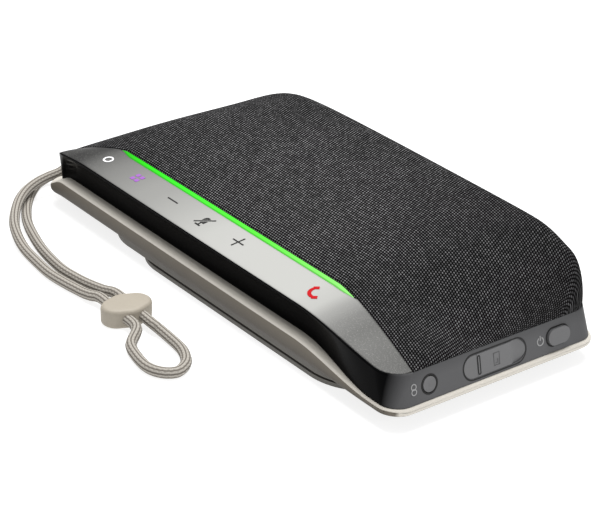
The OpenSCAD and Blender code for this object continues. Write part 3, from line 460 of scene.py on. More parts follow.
def woven():
    """Cloth: rows of rounded light flecks, each row moved by a fifth of the pitch, each fleck its own tone,
    with painted shade towards both ends and the back.
    """
    s, c = sizes(), colours()
    n = Nodes("woven_cloth")
    uv = n.split(n.place("UV"))
    a = n.math("DIVIDE", uv[0], s.weave_along * 1000)
    b = n.math("DIVIDE", uv[1], s.weave_across * 1000)
    wobble = n.noise(700.0, 2.0)
    b = n.math("ADD", b, n.math("MULTIPLY", n.math("SUBTRACT", wobble, 0.5), 0.2))
    row = n.math("FLOOR", b)
    a = n.math("ADD", a, n.math("MULTIPLY", row, 0.19))
    col = n.math("FLOOR", a)
    cell = n.node("ShaderNodeCombineXYZ")
    n.link(col, cell.inputs[0])
    n.link(row, cell.inputs[1])
    rnd = n.node("ShaderNodeTexWhiteNoise", noise_dimensions="3D")
    n.link(cell.outputs[0], rnd.inputs["Vector"])
    fa = n.math("SUBTRACT", n.math("FRACT", a), 0.5)
    fb = n.math("SUBTRACT", n.math("FRACT", b), 0.5)
    d = n.math("ADD", n.math("POWER", n.math("MULTIPLY", n.math("ABSOLUTE", fa), 2.45), 2.0),
               n.math("POWER", n.math("MULTIPLY", n.math("ABSOLUTE", fb), 2.7), 2.0))
    fleck = n.range(d, 1.0, 0.15)
    tone = n.math("POWER", rnd.outputs["Value"], 1.4)
    patch = n.range(n.noise(120.0, 3.0), 0.3, 0.7, 0.8, 1.0)
    amount = n.math("MULTIPLY", n.math("MULTIPLY", fleck, n.math("ADD", n.math("MULTIPLY", tone, 0.55), 0.4)),
                    patch, clamp=True)
    p = n.split(n.place())
    # Painted shade: the flecks dim towards both ends and towards the back of the top, where the top turns from
    # the light.
    cloth_painted_shade = n.math("MULTIPLY", n.range(p[0], 0.02, 0.062, 1.0, 0.66), n.range(p[0], -0.07, -0.02, 0.72, 0.95))
    cloth_painted_shade = n.math("MULTIPLY", cloth_painted_shade, n.range(p[1], 0.005, 0.035, 1.0, 0.72))
    amount = n.math("MULTIPLY", amount, cloth_painted_shade)
    n.set(Base_Color=n.mix(amount, tuple(c.cloth_dark), tuple(c.cloth_light)), Roughness=0.92)
    n.set(Specular_IOR_Level=0.03)
    n.bump(n.math("ADD", fleck, n.math("MULTIPLY", rnd.outputs["Value"], 0.3)), 0.00016, 0.8)
    return n.mat


# Painted light and shade along the strip: where along it, in millimetres, it has which share of its lit colour;
# the tails that turn from the light are painted darker.
STRIP_SHADING = ((-91, 0.05), (-80, 0.04), (-76, 0.0), (-72, 0.02), (-66, 0.2), (-58, 0.36), (-52, 0.43),
               (-40, 0.57), (-34, 0.6), (-20, 0.76), (-4, 0.96), (10, 1.0), (42, 1.0), (50, 0.86), (54, 0.58),
               (60, 0.31), (66, 0.21), (72, 0.23), (78, 0.2), (91, 0.12))


def satin_strip():
    """Satin metal paint with painted light in the middle and painted shade past the folds, speckled there."""
    c = colours()
    n = Nodes("satin_strip")
    x = n.split(n.place())[0]
    light, dark = tuple(c.strip_light), tuple(c.strip_shade)
    # Painted light and shade: the ramp runs from the painted shade of the tails to the lit middle.
    t = n.range(x, -0.091, 0.091)
    base = n.ramp(t, [((k + 91) / 182, tuple(q + (p - q) * w for p, q in zip(light, dark)))
                      for k, w in STRIP_SHADING])
    speck = n.noise(2600.0, 2.0)
    tail = n.math("ADD", n.range(x, 0.05, 0.06), n.range(x, -0.05, -0.075))
    shade = n.math("MULTIPLY", tail, n.range(speck, 0.52, 0.72, 0.0, 0.75))
    n.set(Base_Color=n.mix(shade, base, n.mix(0.22, base, (0.5, 0.49, 0.47))), Metallic=0.1,
          Roughness=n.range(speck, 0.3, 0.7, 0.42, 0.52), Specular_IOR_Level=0.1)
    n.bump(n.noise(1800.0, 3.0), 0.00001)
    return n.mat


def boot_painted_shading():
    """Soft moulding in one colour: painted light on the ledge and at the key end, painted shade darkening its
    side towards the foot.
    """
    c = colours()
    n = Nodes("boot_painted_shading")
    uv = n.split(n.place("UV"))
    # Painted shade and light: low is the painted shade by the foot, side the shaded side, ledge and top the lit
    # ledge along the front and at the key end.
    low, side = (0.07, 0.061, 0.049), (0.145, 0.127, 0.102)
    ledge, top = (tuple(k * w for k in c.boot) for w in (1.2, 1.3))
    front = n.ramp(uv[1], [(0.0, low), (0.12, low), (0.5, side), (0.64, side), (0.8, ledge), (1.0, ledge)])
    end = n.ramp(uv[1], [(0.0, low), (0.12, low), (0.5, side), (0.66, side), (0.78, top), (1.0, top)])
    tone = n.mix(uv[0], front, end)
    n.set(Base_Color=n.mix(n.range(n.noise(60.0), 0.3, 0.7, 0.0, 0.06), tone, (0.2, 0.19, 0.17)),
          Roughness=n.range(n.noise(1600.0), 0.3, 0.7, 0.5, 0.6), Specular_IOR_Level=0.2)
    n.bump(n.noise(1600.0), 0.000015)
    return n.mat


def glow_bar():
    """Lit bar with painted shade: deep green at the lanyard end and along its lower edge, paler towards the
    keys.
    """
    n = Nodes("glow_bar")
    v = n.split(n.place("UV"))[1]
    c = tuple(colours().glow)
    x = n.range(n.split(n.place())[0], -0.07, 0.06)
    # Painted shade: the ramp starts deep green at the lanyard end.
    along = n.ramp(x, [(0.0, (0.02, 0.5, 0.01)), (0.1, (c[0] * 0.6, 0.8, c[2] * 0.3)), (0.25, c),
                       (0.6, (0.14, 1.0, 0.07)), (0.85, (0.3, 1.0, 0.19)), (1.0, (0.42, 0.95, 0.3))])
    # Painted shade along the bar's lower edge.
    shaded_glow = n.mix(0.55, along, (0.02, 0.16, 0.01))
    tone = n.mix(n.range(v, 0.2, 0.42), shaded_glow, along)
    soft = n.range(n.noise(60.0, 2.0), 0.2, 0.8, 0.95, 1.03)
    n.set(Base_Color=(0.004, 0.06, 0.002, 1), Roughness=0.4, Specular_IOR_Level=0.05, Emission_Color=tone,
          Emission_Strength=soft)
    return n.mat


def band_gloss(name):
    """One dark band, gloss along the front and the back and satin on the end faces, with its colour painted:
    black in the shade along the front and the back, grey where light falls on the end faces, darker towards
    their corners.
    """
    c = colours()
    n = Nodes(name)
    p = n.split(n.place())
    f = n.range(n.math("ABSOLUTE", p[0]), 0.0845, 0.0888)
    # Painted shade: the end faces darken towards their front and back corners.
    side = n.range(n.math("ABSOLUTE", p[1]), 0.036, 0.024, 0.55, 1.0)
    end_light_and_shade = n.mix(side, tuple(v * 0.62 for v in c.end_lit_grey), tuple(c.end_lit_grey))
    grain = n.noise(1500.0, 3.0)
    # Painted light and shade: the front and the back take the shaded black, the ends the lit grey.
    n.set(Base_Color=n.mix(f, tuple(c.fascia_shade), end_light_and_shade), Roughness=n.math("ADD", n.math("MULTIPLY", f, 0.2), 0.22),
          Specular_IOR_Level=0.02)
    n.bump(n.math("MULTIPLY", grain, f), 0.000008)
    return n.mat


def printed(name, stops):
    """Printed marks whose ink changes along the strip."""
    n = Nodes(name)
    x = n.split(n.place())[0]
    base = n.ramp(n.range(x, -0.1, 0.1), stops, "CONSTANT")
    wear = n.range(n.noise(1500.0, 2.0), 0.35, 0.65, 0.0, 0.04)
    n.set(Base_Color=n.mix(wear, base, (0.3, 0.3, 0.3)), Roughness=0.6, Specular_IOR_Level=0.03)
    n.bump(n.noise(2500.0, 2.0), 0.000004)
    return n.mat


def braided():
    """Braid: two faint families of crossing strands, with nine darker lengthwise stripes round the cord."""
    c = colours()
    n = Nodes("braided_cord")
    uv = n.split(n.place("UV"))
    u = n.math("MULTIPLY", uv[0], 1 / 1.5)
    v = n.math("MULTIPLY", uv[1], 8.0)
    one = n.math("SINE", n.math("MULTIPLY", n.math("ADD", u, v), 6.2832))
    two = n.math("SINE", n.math("MULTIPLY", n.math("SUBTRACT", u, v), 6.2832))
    weave = n.math("MAXIMUM", one, two)
    stripe = n.math("SINE", n.math("MULTIPLY", uv[1], 6.2832 * 9))
    f = n.range(stripe, 0.0, 0.7, 0.0, 0.95)
    ground = n.mix(n.range(weave, -0.6, 1.0), tuple(k * 0.84 for k in c.cord), tuple(c.cord))
    n.set(Base_Color=n.mix(f, ground, (0.13, 0.115, 0.10)), Roughness=0.85, Specular_IOR_Level=0.1)
    n.bump(weave, 0.0001, 0.6)
    return n.mat


# ---- operators ---------------------------------------------------------------------------------

class Piece:
    """What all the operators share: they are undoable and count as done or raise."""
    bl_options = {"REGISTER", "UNDO"}


CAMERA_TURN = (51.5593, 27.307, 1.8895)   # azimuth, elevation and roll in degrees
CAMERA_AT = (0.48537, -0.38737, 0.32731)
CAMERA_LENS = 134.0184                    # millimetres on a sensor 36 mm wide


class SPEAKERPHONE_OT_stage(Piece, bpy.types.Operator):
    """Camera, pale floor and soft studio lights"""
    bl_idname = "speakerphone.stage"
    bl_label = "Stage"

    def execute(self, context):
        az, el, roll = np.radians(CAMERA_TURN)
        back = np.array([np.sin(az) * np.cos(el), -np.cos(az) * np.cos(el), np.sin(el)])
        right = np.array([np.cos(az), np.sin(az), 0.0])
        up = np.cross(back, right)
        right, up = np.cos(roll) * right + np.sin(roll) * up, -np.sin(roll) * right + np.cos(roll) * up
        data = bpy.data.cameras.new("camera")
        data.sensor_width = 36.0
        data.lens = CAMERA_LENS
        data.clip_start = 0.01
        data.clip_end = 20.0
        cam = bpy.data.objects.new("camera", data)
        context.scene.collection.objects.link(cam)
        m = np.eye(4)
        m[:3, 0], m[:3, 1], m[:3, 2] = right, up, back
        m[:3, 3] = CAMERA_AT
        cam.matrix_world = Matrix(m.tolist())
        context.scene.camera = cam
        side = np.linspace(-3.0, 3.0, 5)
        x, y = np.meshgrid(side, side, indexing="ij")
        mesh = bpy.data.meshes.new("floor")
        mesh.from_pydata(np.stack([x, y, 0 * x], -1).reshape(-1, 3).tolist(), [],
                         grid_faces(5, 5)[:, ::-1].tolist())
        floor = bpy.data.objects.new("floor", mesh)
        context.scene.collection.objects.link(floor)
        n = Nodes("pale_floor")
        n.set(Base_Color=n.mix(n.noise(3.0), (0.35, 0.35, 0.35), (0.37, 0.37, 0.37)), Roughness=1.0,
              Specular_IOR_Level=0.0, Emission_Color=(1, 1, 1, 1), Emission_Strength=0.8)
        mesh.materials.append(n.mat)
        self.light(context, "top_light", (-0.15, 0.12, 1.0), 0.7, 15.0, (0.0, 0.0, 0.0))
        self.light(context, "side_light", (1.3, 0.25, 0.5), 0.7, 4.0, (0.0, 0.0, 0.0))
        world = bpy.data.worlds.new("studio")
        world.use_nodes = True
        world.node_tree.nodes["Background"].inputs[0].default_value = (1.0, 1.0, 1.0, 1)
        world.node_tree.nodes["Background"].inputs[1].default_value = 0.5
        context.scene.world = world
        context.scene.view_settings.view_transform = "Standard"
        return {"FINISHED"}

    def light(self, context, name, at, width, power, aim):
        """Square area light at a point, turned to aim at another."""
        data = bpy.data.lights.new(name, "AREA")
        data.size = width
        data.energy = power
        obj = bpy.data.objects.new(name, data)
        z = np.array(at) - np.array(aim)
        z = z / np.linalg.norm(z)
        x = np.cross([0.0, 1.0, 0.0] if abs(z[2]) > 0.9 else [0.0, 0.0, 1.0], z)
        x = x / np.linalg.norm(x)
        m = np.eye(4)
        m[:3, 0], m[:3, 1], m[:3, 2], m[:3, 3] = x, np.cross(z, x), z, at
        obj.matrix_world = Matrix(m.tolist())
        context.scene.collection.objects.link(obj)


CORD_ROUTE = [
    (-88, -27.2, 10.6), (-88, -27.2, 10.6), (-91.6, -28, 9.8), (-93.1, -31.6, 7.4), (-93.5, -36.1, 6.6),
    (-92.8, -41.2, 6), (-90.2, -46.7, 5.6), (-85.4, -52.3, 5.4), (-79, -57.6, 5.1), (-72.9, -61.5, 4.4),
    (-67, -63.8, 3.2), (-60.6, -65.2, 2), (-52.2, -66.3, 1.7), (-42.6, -67.2, 1.7), (-34.2, -66.6, 1.7),
    (-26.7, -65.5, 1.7), (-22.4, -65.2, 2.4), (-17.863, -64.254, 3.1), (-7.288, -64.993, 3.1),
    (3.286, -65.733, 3.1), (9.7, -71.9, 2.2), (16.5, -74, 1.7), (22.3, -74.7, 1.7), (26.2, -73.6, 1.7),
    (28.8, -71.2, 1.7), (29.3, -68.1, 1.7), (26.3, -63.8, 1.7), (20.5, -60.9, 1.7), (13.4, -59.8, 1.7),
    (6.9, -59.7, 2.2), (3.663, -60.346, 3.1), (-6.912, -59.607, 3.1), (-17.486, -58.867, 3.1),
    (-23.6, -60.2, 2.3), (-32.8, -61.7, 1.7), (-43, -62.5, 1.7), (-56.3, -60.8, 1.7), (-68.1, -57.6, 1.7),
    (-77.1, -54.2, 1.7), (-84.8, -49.9, 1.7), (-90.8, -45.5, 1.7), (-95.7, -41.1, 1.7), (-99.8, -36.1, 1.7),
    (-100.3, -32, 2.8), (-98.2, -28.5, 4.6), (-96.6, -25.6, 7), (-92.6, -23.4, 9.8), (-88, -22.8, 10.6),
    (-88, -22.8, 10.6)]


PUCK_AT = (-7.1, -62.3)   # middle of the slider, in millimetres
PUCK_TURN = -4            # degrees from the x direction
PUCK_HALF = 6.0           # half of its width
PUCK_END_R = 4.68         # radius of its two ends
PUCK_END_AT = 3.52        # how far the ends' circles stand from its middle
PUCK_HEIGHT = 6.2
PUCK_EDGE = 1.3           # rounding of its edges


def smooth_path(points, per=12):
    """Catmull-Rom curve through the points.

    Between b and c it is half of 2b + (c - a) t + (2a - 5b + 4c - d) t squared + (3b - a - 3c + d) t cubed.
    """
    p = np.asarray(points, dtype=float)
    q = np.concatenate([[2 * p[0] - p[1]], p, [2 * p[-1] - p[-2]]])
    t = np.linspace(0, 1, per, endpoint=False)[None, :, None]
    a, b, c, d = (q[k:len(q) - 3 + k][:, None, :] for k in range(4))
    s = 0.5 * (2 * b + (c - a) * t + (2 * a - 5 * b + 4 * c - d) * t ** 2 + (3 * b - a - 3 * c + d) * t ** 3)
    return np.concatenate([s.reshape(-1, 3), p[-1:]])


def tube(path, radius, sides):
    """Closed tube along a path, its section turned as little as possible, with UVs of length and turn."""
    t = np.gradient(path, axis=0)
    t = t / np.linalg.norm(t, axis=1)[:, None]
    side = np.cross(t, [0, 0, 1.0])
    side = side / np.linalg.norm(side, axis=1)[:, None]
    up = np.cross(side, t)
    a = np.linspace(0, 2 * np.pi, sides + 1)
    ring = path[:, None, :] + radius * (np.cos(a)[None, :, None] * side[:, None, :]
                                        + np.sin(a)[None, :, None] * up[:, None, :])
    length = np.concatenate([[0], np.cumsum(np.linalg.norm(np.diff(path, axis=0), axis=1))])
    uv = np.stack(np.broadcast_arrays(length[:, None], (a / (2 * np.pi))[None, :]), -1)
    m, n = len(path), sides + 1
    verts = np.concatenate([ring.reshape(-1, 3), path[:1], path[-1:]])
    uvs = np.concatenate([uv.reshape(-1, 2), [[0, 0.5]], [[length[-1], 0.5]]])
    k = np.arange(sides)
    first = np.stack([k, k + 1, 0 * k + m * n], -1)
    last = np.stack([(m - 1) * n + k + 1, (m - 1) * n + k, 0 * k + m * n + 1], -1)
    return verts, [grid_faces(m, n)[:, ::-1], first[:, ::-1], last[:, ::-1]], uvs, length[-1]


class SPEAKERPHONE_OT_lanyard(Piece, bpy.types.Operator):
    """Braided wrist lanyard and its slider"""
    bl_idname = "speakerphone.lanyard"
    bl_label = "Lanyard"

    def execute(self, context):
        d = sizes().cord_diameter
        path = smooth_path(CORD_ROUTE)
        path[:, 2] = np.maximum(path[:, 2], d * 500)
        verts, faces, uv, length = tube(path, d * 500, 12)
        cord = make("lanyard", verts, faces, "speaker", uv)
        merge = cord.modifiers.new("Seam", "WELD")
        merge.merge_threshold = 0.00001
        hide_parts("lanyard_cord")
        finish_with(cord, braided())
        slider = self.slider()
        return {"FINISHED"}

    def slider(self):
        """Puck: the hull of a middle circle and two smaller end ones, its top and bottom edges rounded over.

        A circle of radius R at c along y reaches c cos b + root(R squared - c squared sin squared b) at the
        angle b from y. Near y the outline has that reach of the end circle, then the common tangent's
        R / cos(b - t), where t is the tangent's own angle, and past t the middle circle's radius.
        """
        a = np.linspace(0, 2 * np.pi, 64, endpoint=False)
        rows = np.radians(np.concatenate([np.linspace(-90, 0, 7), np.linspace(0, 90, 7)]))
        turn = np.arccos((PUCK_HALF - PUCK_END_R) / PUCK_END_AT)
        cap = PUCK_END_AT * np.abs(np.sin(a)) + np.sqrt(
            np.maximum(PUCK_END_R ** 2 - (PUCK_END_AT * np.cos(a)) ** 2, 0))
        from_y = np.arcsin(np.clip(np.abs(np.cos(a)), 0, 1))
        line = PUCK_HALF / np.cos(np.clip(from_y - turn, -1.3, 1.3))
        cap_end = np.arctan2(PUCK_END_R * np.sin(turn), PUCK_END_AT + PUCK_END_R * np.cos(turn))
        reach = np.where(from_y < cap_end, cap, np.where(from_y < turn, line, PUCK_HALF))
        r = PUCK_EDGE
        rad = -r + r * np.cos(rows)
        z = np.where(np.arange(14) < 7, r + r * np.sin(rows), PUCK_HEIGHT - r + r * np.sin(rows))
        z = np.concatenate([[0.0, 0.0], z, [PUCK_HEIGHT, PUCK_HEIGHT]])
        full = np.ones((1, 64))
        part = np.concatenate([0.002 * full, 0.4 * full, 1 + rad[:, None] / reach[None, :],
                               0.4 * full, 0.002 * full])
        x = part * (reach * np.cos(a))[None, :]
        y = part * (reach * np.sin(a))[None, :]
        t = np.radians(PUCK_TURN)
        pts = np.stack([PUCK_AT[0] + x * np.cos(t) - y * np.sin(t), PUCK_AT[1] + x * np.sin(t) + y * np.cos(t),
                        z[:, None] + 0 * x], -1)
        obj = make("slider_puck", pts, grid_faces(len(z), 64, wrap=True), "slider", flip=True)
        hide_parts("cord_slider")
        finish_with(obj, moulded("soft_puck", (0.33, 0.295, 0.24), 0.6, 0.08, 1400.0, 0.00003))
        return obj


class SPEAKERPHONE_OT_cloth(Piece, bpy.types.Operator):
    """Woven cloth over the top"""
    bl_idname = "speakerphone.cloth"
    bl_label = "Cloth"

    def execute(self, context):
        f = Form()
        # Over the rolled edges the stations stand at even turns of the superellipse; elsewhere they are even.
        roll = (1 - np.cos(np.linspace(0, np.pi / 2, 18)) ** 2.2) ** (1 / 2.6)
        xs = np.concatenate([-f.dome_x + FAR_ROLL * (1 - roll[:0:-1]),
                             np.linspace(-f.dome_x + FAR_ROLL, f.dome_x - END_ROLL, 200),
                             f.dome_x - END_ROLL * (1 - roll[1:])])[:, None]
        y0, y1 = f.front_at(xs), f.back_y(xs)
        near = CLOTH_EDGE * np.array([0, 0.04, 0.12, 0.25, 0.45, 0.7])[None, :] / 0.7 + 0 * y0
        flat = 1.0 + (y1 - BACK_ROLL - y0 - 1.0) * np.linspace(0, 1, 100)[None, :]
        d = np.concatenate([near, flat, y1 - y0 - BACK_ROLL * (1 - roll[None, 1:])], axis=1)
        y = y0 + d
        x = xs * f.end_x(y) / f.dome_x
        z = f.dome_z(x, y)
        # The front edge is a quarter circle: the radius less the root of its square less the distance squared.
        fall = np.clip(1 - d / CLOTH_EDGE, 0, 1)
        z = z - CLOTH_EDGE * (1 - np.sqrt(1 - fall ** 2)) + CLOTH_LIFT
        pts = np.stack([x, y, z], -1)
        uv = arc_uv(pts)
        obj = make("woven_top", pts, grid_faces(*pts.shape[:2]), "speaker", uv)
        walls(obj, CLOTH_WALL)
        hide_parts("fabric_cover")
        finish_with(obj, woven())
        return {"FINISHED"}


class SPEAKERPHONE_OT_strip(Piece, bpy.types.Operator):
    """Touch strip and light bar"""
    bl_idname = "speakerphone.strip"
    bl_label = "Touch strip"

    def execute(self, context):
        f = Form()
        x = (f.strip_end() * spread(np.linspace(-1, 1, 221)))[:, None]
        s = np.concatenate([[0, 0.004, 0.012, 0.025, 0.045], np.linspace(0.07, 1, 24)])[None, :]
        s = s * f.bar_share(x)
        pts = f.strip_point(x, s, 0.06)
        # The lower edge is a quarter circle, as the cloth's is; the face is about 16 mm wide.
        edge = np.clip(1 - s * 16 / STRIP_EDGE, 0, 1)
        pts[..., 2] -= STRIP_EDGE * (1 - np.sqrt(1 - edge ** 2))
        strip = make("touch_face", pts, grid_faces(*pts.shape[:2]), "speaker", arc_uv(pts))
        walls(strip, 0.9)
        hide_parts("touch_strip")
        finish_with(strip, satin_strip())
        # The light bar fills the width that the strip leaves, from the strip's share up to 0.975.
        x = (LIGHT_MID + (f.light_half - 1.2) * np.linspace(-1, 1, 161))[:, None]
        v = np.linspace(0, 1, 9)[None, :]
        low = np.minimum(f.bar_share(x) + 0.01, 0.945)
        pts = f.strip_point(x, low + (0.975 - low) * v, 0.02)
        uv = np.stack(np.broadcast_arrays((x + 70) / 140, v), -1)
        bar = make("glow_bar", pts, grid_faces(*pts.shape[:2]), "speaker", uv)
        walls(bar, 0.7)
        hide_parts("light_bar")
        finish_with(bar, glow_bar())
        return {"FINISHED"}


class SPEAKERPHONE_OT_band(Piece, bpy.types.Operator):
    """Smooth faces over the front, the back and the corners of the band"""
    bl_idname = "speakerphone.band"
    bl_label = "Band faces"

    def execute(self, context):
        f = Form()
        rim = f.outline(f.half_l, 0, f.rim_r)
        top = f.outline(f.dome_x, TOP_IN_Y, f.top_r)
        front = np.arange(-CORNER_N, LONG_N + CORNER_N + 1)
        back = front + CORNER_N + LONG_N + CORNER_N + END_N
        gloss = band_gloss("band_faces")
        for name, pick in (("front_face", front), ("back_face", back)):
            r, c = rim[pick % len(rim)], top[pick % len(rim)]
            rise = f.rise(r[:, 0], r[:, 1])
            t = np.linspace(0, 1, 17)[:, None]
            inset = f.inset(r[:, 0], r[:, 1])
            foot = np.stack([r[:, 0] + r[:, 2] * inset, r[:, 1] + r[:, 3] * inset,
                             f.seam_z(r[:, 0], r[:, 1]) + 0.1], -1)
            lip = np.where(c[:, 1] < f.front_y - FRONT_TURN, f.low_z(c[:, 0]), f.band_z)
            head = np.stack([c[:, 0], c[:, 1], lip], -1)
            # Straight from foot to head, hollowed along y by 1.2 of the rise times a half sine wave.
            pts = foot[None] + (head - foot)[None] * t[..., None]
            pts[..., 1] += r[None, :, 3] * 1.2 * rise[None] * np.sin(np.pi * t)
            # The skin stands 0.06 mm out of the solid band and sinks 0.05 mm into it at its ends.
            k = np.arange(len(pick))
            out = -0.05 + 0.11 * smooth(np.minimum(k, len(pick) - 1 - k) / 3.0)
            pts[..., 0] -= out[None] * r[None, :, 2]
            pts[..., 1] -= out[None] * r[None, :, 3]
            obj = make(name, pts, grid_faces(*pts.shape[:2]), "speaker", arc_uv(pts), flip=True)
            walls(obj, 0.4)
            finish_with(obj, gloss)
        return {"FINISHED"}


# Painted shadow rings: name, middle along y, half width, half height and line width of each ring, in
# millimetres.
GAP_SHADOWS = (("pair_shadow_ring", -25.4, 2.75, 2.75, 0.5), ("power_shadow_ring", 23.4, 4.5, 2.75, 0.42),
             ("port_shadow_ring", -1.0, 11.95, 3.75, 0.42), ("tab_slit_shadow", -6.95, 0.42, 2.7, 0.4))


class SPEAKERPHONE_OT_gaps(Piece, bpy.types.Operator):
    """Painted shadow: dark rings round the keys and the port cover, and a dark slit on the cover, for the shade
    in their gaps
    """
    bl_idname = "speakerphone.gaps"
    bl_label = "Gap rings"

    def execute(self, context):
        f = Form()
        # Painted shadow: a near-black sheet laid on the end face where its gaps hold shade.
        dark = moulded("painted_gap_shadow", (0.004, 0.004, 0.004), 0.8, 0.2, 1500.0)
        low_z = f.base_z + RIM_HEIGHT
        for name, mid, half_y, half_z, width in GAP_SHADOWS:
            # A rounded slot: circles of radius r carried out to the half width and half height, as a ring
            # of oblong section on the end face, whose x falls in step with the height.
            r = min(half_y, half_z)
            a = np.linspace(0, 2 * np.pi, 72, endpoint=False) + 0.001
            y = np.sign(np.cos(a)) * (half_y - r) + r * np.cos(a)
            z = np.sign(np.sin(a)) * (half_z - r) + r * np.sin(a)
            rows = []
            for side, out in ((-1, 0.04), (1, 0.04), (1, -0.25), (-1, -0.25)):
                w = side * width / 2
                py, pz = y + w * np.cos(a) + mid, z + w * np.sin(a) + KEY_Z
                px = f.half_l - BAND_STEP - (pz - low_z) * BAND_LEAN / (f.band_z - low_z) + out
                rows.append(np.stack([px, py, pz], -1))
            pts = np.stack([*rows, rows[0]])[::-1]
            obj = make(name, pts, grid_faces(5, 72, wrap=True), "speaker", flat=True)
            weld = obj.modifiers.new("Seam", "WELD")
            weld.merge_threshold = 0.00001
            finish_with(obj, dark)
        return {"FINISHED"}


class SPEAKERPHONE_OT_boot(Piece, bpy.types.Operator):
    """Boot with its rim, its swell along the front and its rounded ledge"""
    bl_idname = "speakerphone.boot"
    bl_label = "Boot"

    def execute(self, context):
        f = Form()
        rim = f.outline(f.half_l, 0, f.rim_r)
        rise = f.rise(rim[:, 0], rim[:, 1])
        high = RIM_HEIGHT + FRONT_RISE * rise
        inset = f.inset(rim[:, 0], rim[:, 1])
        # Rows of inset at rest, share of the height and inset along the rise, then a quarter circle at the top
        # edge, the ledge and the inside; each row is the rim's outline moved inward.
        rows = [(1.4, 0.0, 0.7), (0.55, 0.0, 0.7), (0.3, 0.05, 0.6), (0.1, 0.15, 0.45), (0, 0.3, 0.25),
                (0, 0.5, 0.08), (0, 0.62, 0)]
        pts = [np.stack([rim[:, 0] + rim[:, 2] * (i + k * rise), rim[:, 1] + rim[:, 3] * (i + k * rise),
                         f.base_z + high * q], -1) for i, q, k in rows]
        r = BOOT_EDGE
        for a in np.radians([0, 15, 30, 45, 60, 75, 90]):
            i = r * (1 - np.cos(a))
            pts.append(np.stack([rim[:, 0] + rim[:, 2] * i, rim[:, 1] + rim[:, 3] * i,
                                 f.base_z + high - r + r * np.sin(a)], -1))
        for extra in (0.6, 1.2):
            w = r + extra * (inset - r) + 0.4 * (extra > 1)
            pts.append(np.stack([rim[:, 0] + rim[:, 2] * w, rim[:, 1] + rim[:, 3] * w, f.base_z + high
                                 - 0.02 * extra], -1))
        w = 3.0 + 0.7 * inset
        for z in (f.base_z + high - 0.1, f.base_z + 1.2 + 0 * high):
            pts.append(np.stack([rim[:, 0] + rim[:, 2] * w, rim[:, 1] + rim[:, 3] * w, z], -1))
        pts = np.stack(pts)
        m, n = pts.shape[:2]
        # UV: the key end's painted light along u, and along v 0 at the foot to 1 on the ledge, which places the
        # painted shade and light.
        share = np.clip((pts[..., 2] - f.base_z) / high[None, :], 0, 1)
        end = np.clip((np.abs(rim[:, 0]) - f.half_l + 6) / 5, 0, 1) * np.where(rim[:, 0] > 0, 1.0, 0.4)
        side = np.maximum(0.62 * share, 0.8 * end[None, :] * (share > 0.08))
        share = np.where(np.arange(m)[:, None] >= 9, 1.0, side)
        uv = np.stack([0 * share + end[None, :], share], -1).reshape(-1, 2)
        uv = np.concatenate([uv, [[0, 0], [0, 1]]])
        verts = np.concatenate([pts.reshape(-1, 3), [[0, 0, f.base_z]], [[0, 0, f.base_z + 1.2]]])
        k = np.arange(n)
        low = np.stack([(k + 1) % n, k, 0 * k + m * n], -1)
        floor = np.stack([(m - 1) * n + k, (m - 1) * n + (k + 1) % n, 0 * k + m * n + 1], -1)
        faces = [grid_faces(m, n, wrap=True)[:, ::-1], low, floor]
        obj = make("boot_shell", verts, faces, "speaker", uv)
        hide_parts("base_boot")
        finish_with(obj, boot_painted_shading())
        return {"FINISHED"}


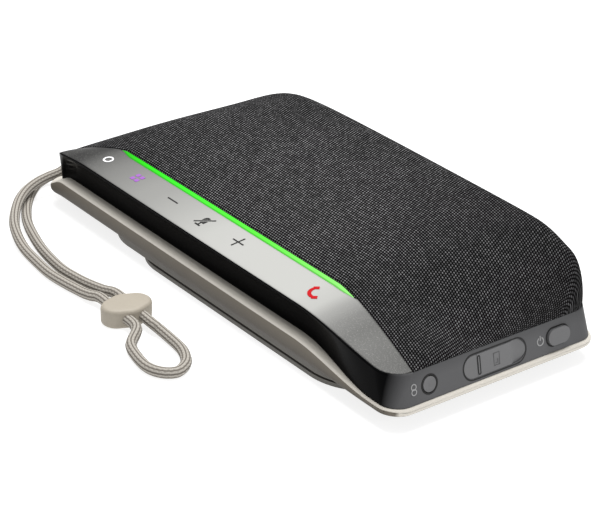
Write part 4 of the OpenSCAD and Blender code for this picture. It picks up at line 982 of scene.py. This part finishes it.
class SPEAKERPHONE_OT_finishes(Piece, bpy.types.Operator):
    """Finishes of all the solids that stay"""
    bl_idname = "speakerphone.finishes"
    bl_label = "Finishes"

    def execute(self, context):
        ink = printed("strip_ink", [(0.0, (0.85, 0.85, 0.86)), (0.21, (0.29, 0.11, 0.42)),
                                    (0.33, (0.02, 0.02, 0.02)), (0.66, (0.42, 0.006, 0.01))])
        # Painted shade: the foot plate is the boot's moulding at about a quarter of its colour, standing for
        # the shade under the body.
        boot = moulded("foot_painted_shade", tuple(c * 0.26 for c in colours().boot), 0.7, 0.05, 1600.0)
        case = moulded("case_black", (0.03, 0.03, 0.032), 0.5, 0.15, 1200.0)
        board = moulded("board_green", (0.02, 0.13, 0.06), 0.35, 0.2, 500.0, 0.00002, coat=0.4)
        steel = moulded("plated_steel", (0.5, 0.5, 0.52), 0.3, 0.08, 2000.0, 0.000005, metal=1.0)
        dark_steel = moulded("painted_steel", (0.06, 0.06, 0.065), 0.45, 0.15, 900.0)
        key = moulded("key_satin", (0.105, 0.105, 0.108), 0.42, 0.05, 1800.0, 0.000008)
        table = {
            "foot_pad": moulded("pad_rubber", (0.36, 0.34, 0.31), 0.85, 0.1, 1500.0), "foot_plate": boot,
            "cable_gland": case, "lower_case": case, "speaker_box": case, "strip_carrier": case,
            "battery_tray": case, "lanyard_clamp": case,
            "case_gasket": moulded("gasket_foam", (0.08, 0.08, 0.08), 0.95, 0.3, 2200.0, 0.0001),
            "side_band": band_gloss("band_solid"),
            "grille_plate": moulded("grille_black", (0.012, 0.012, 0.012), 0.7, 0.2),
            "strip_marks": ink,
            "band_marks": moulded("mark_pale", (0.27, 0.27, 0.27), 0.5, 0.05, 2500.0, 0.000004),
            "touch_board": board, "led_board": board, "key_board": board, "main_board": board,
            "pair_button": key, "power_button": key,
            "port_cover": moulded("flap_soft", (0.125, 0.125, 0.128), 0.5, 0.05, 1800.0, 0.000012),
            "port_tab": moulded("tab_soft", (0.12, 0.12, 0.122), 0.5, 0.05, 1800.0, 0.000012),
            "key_switches": steel, "usb_socket": steel,
            "board_parts": moulded("chip_black", (0.025, 0.025, 0.025), 0.45, 0.2, 1500.0),
            "battery_pack": moulded("cell_wrap", (0.3, 0.32, 0.36), 0.35, 0.1, 300.0, coat=0.3),
            "driver_basket": dark_steel, "radiator_frame_left": dark_steel, "radiator_frame_right": dark_steel,
            "driver_magnet": steel,
            "driver_cone": moulded("cone_pulp", (0.035, 0.035, 0.038), 0.8, 0.25, 1400.0, 0.00006),
            "radiator_left": dark_steel, "radiator_right": dark_steel,
            "mic_left": case, "mic_middle": case, "mic_right": case,
            "board_screws": steel, "case_screws": steel, "driver_screws": steel,
        }
        soft = moulded("surround_rubber", (0.02, 0.02, 0.02), 0.6, 0.2, 800.0)
        for name in ("driver_surround", "radiator_surround_left", "radiator_surround_right"):
            table[name] = soft
        replaced = {"lanyard_cord", "cord_slider", "fabric_cover", "touch_strip", "light_bar", "base_boot"}
        missing = set(NODES) - set(table) - replaced
        if missing:
            raise ValueError("no finish for " + ", ".join(sorted(missing)))
        for name, material in table.items():
            finish_with(NODES[name], material)
        for name in replaced:
            finish_with(NODES[name], case)
        return {"FINISHED"}


class SPEAKERPHONE_PT_pieces(bpy.types.Panel):
    """Lists the pieces and their sizes and colours"""
    bl_idname = "SPEAKERPHONE_PT_pieces"
    bl_label = "Speakerphone"
    bl_space_type = "VIEW_3D"
    bl_region_type = "UI"
    bl_category = "Speakerphone"

    def draw(self, context):
        for operator in OPERATORS:
            self.layout.operator(operator.bl_idname)
        for group in (context.scene.speakerphone_sizes, context.scene.speakerphone_colours):
            box = self.layout.box()
            for name in group.__annotations__:
                box.prop(group, name)


OPERATORS = (SPEAKERPHONE_OT_stage, SPEAKERPHONE_OT_lanyard, SPEAKERPHONE_OT_cloth, SPEAKERPHONE_OT_strip,
             SPEAKERPHONE_OT_band, SPEAKERPHONE_OT_gaps, SPEAKERPHONE_OT_boot, SPEAKERPHONE_OT_finishes)
CLASSES = (SpeakerphoneSizes, SpeakerphoneColours, *OPERATORS, SPEAKERPHONE_PT_pieces)


def register():
    for cls in CLASSES:
        bpy.utils.register_class(cls)
    bpy.types.Scene.speakerphone_sizes = PointerProperty(type=SpeakerphoneSizes)
    bpy.types.Scene.speakerphone_colours = PointerProperty(type=SpeakerphoneColours)


def unregister():
    del bpy.types.Scene.speakerphone_colours
    del bpy.types.Scene.speakerphone_sizes
    for cls in reversed(CLASSES):
        bpy.utils.unregister_class(cls)


def main():
    """Registers the add-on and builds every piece."""
    register()
    bpy.ops.speakerphone.stage()
    bpy.ops.speakerphone.lanyard()
    bpy.ops.speakerphone.cloth()
    bpy.ops.speakerphone.strip()
    bpy.ops.speakerphone.band()
    bpy.ops.speakerphone.gaps()
    bpy.ops.speakerphone.boot()
    bpy.ops.speakerphone.finishes()


if __name__ == "__main__":
    main()
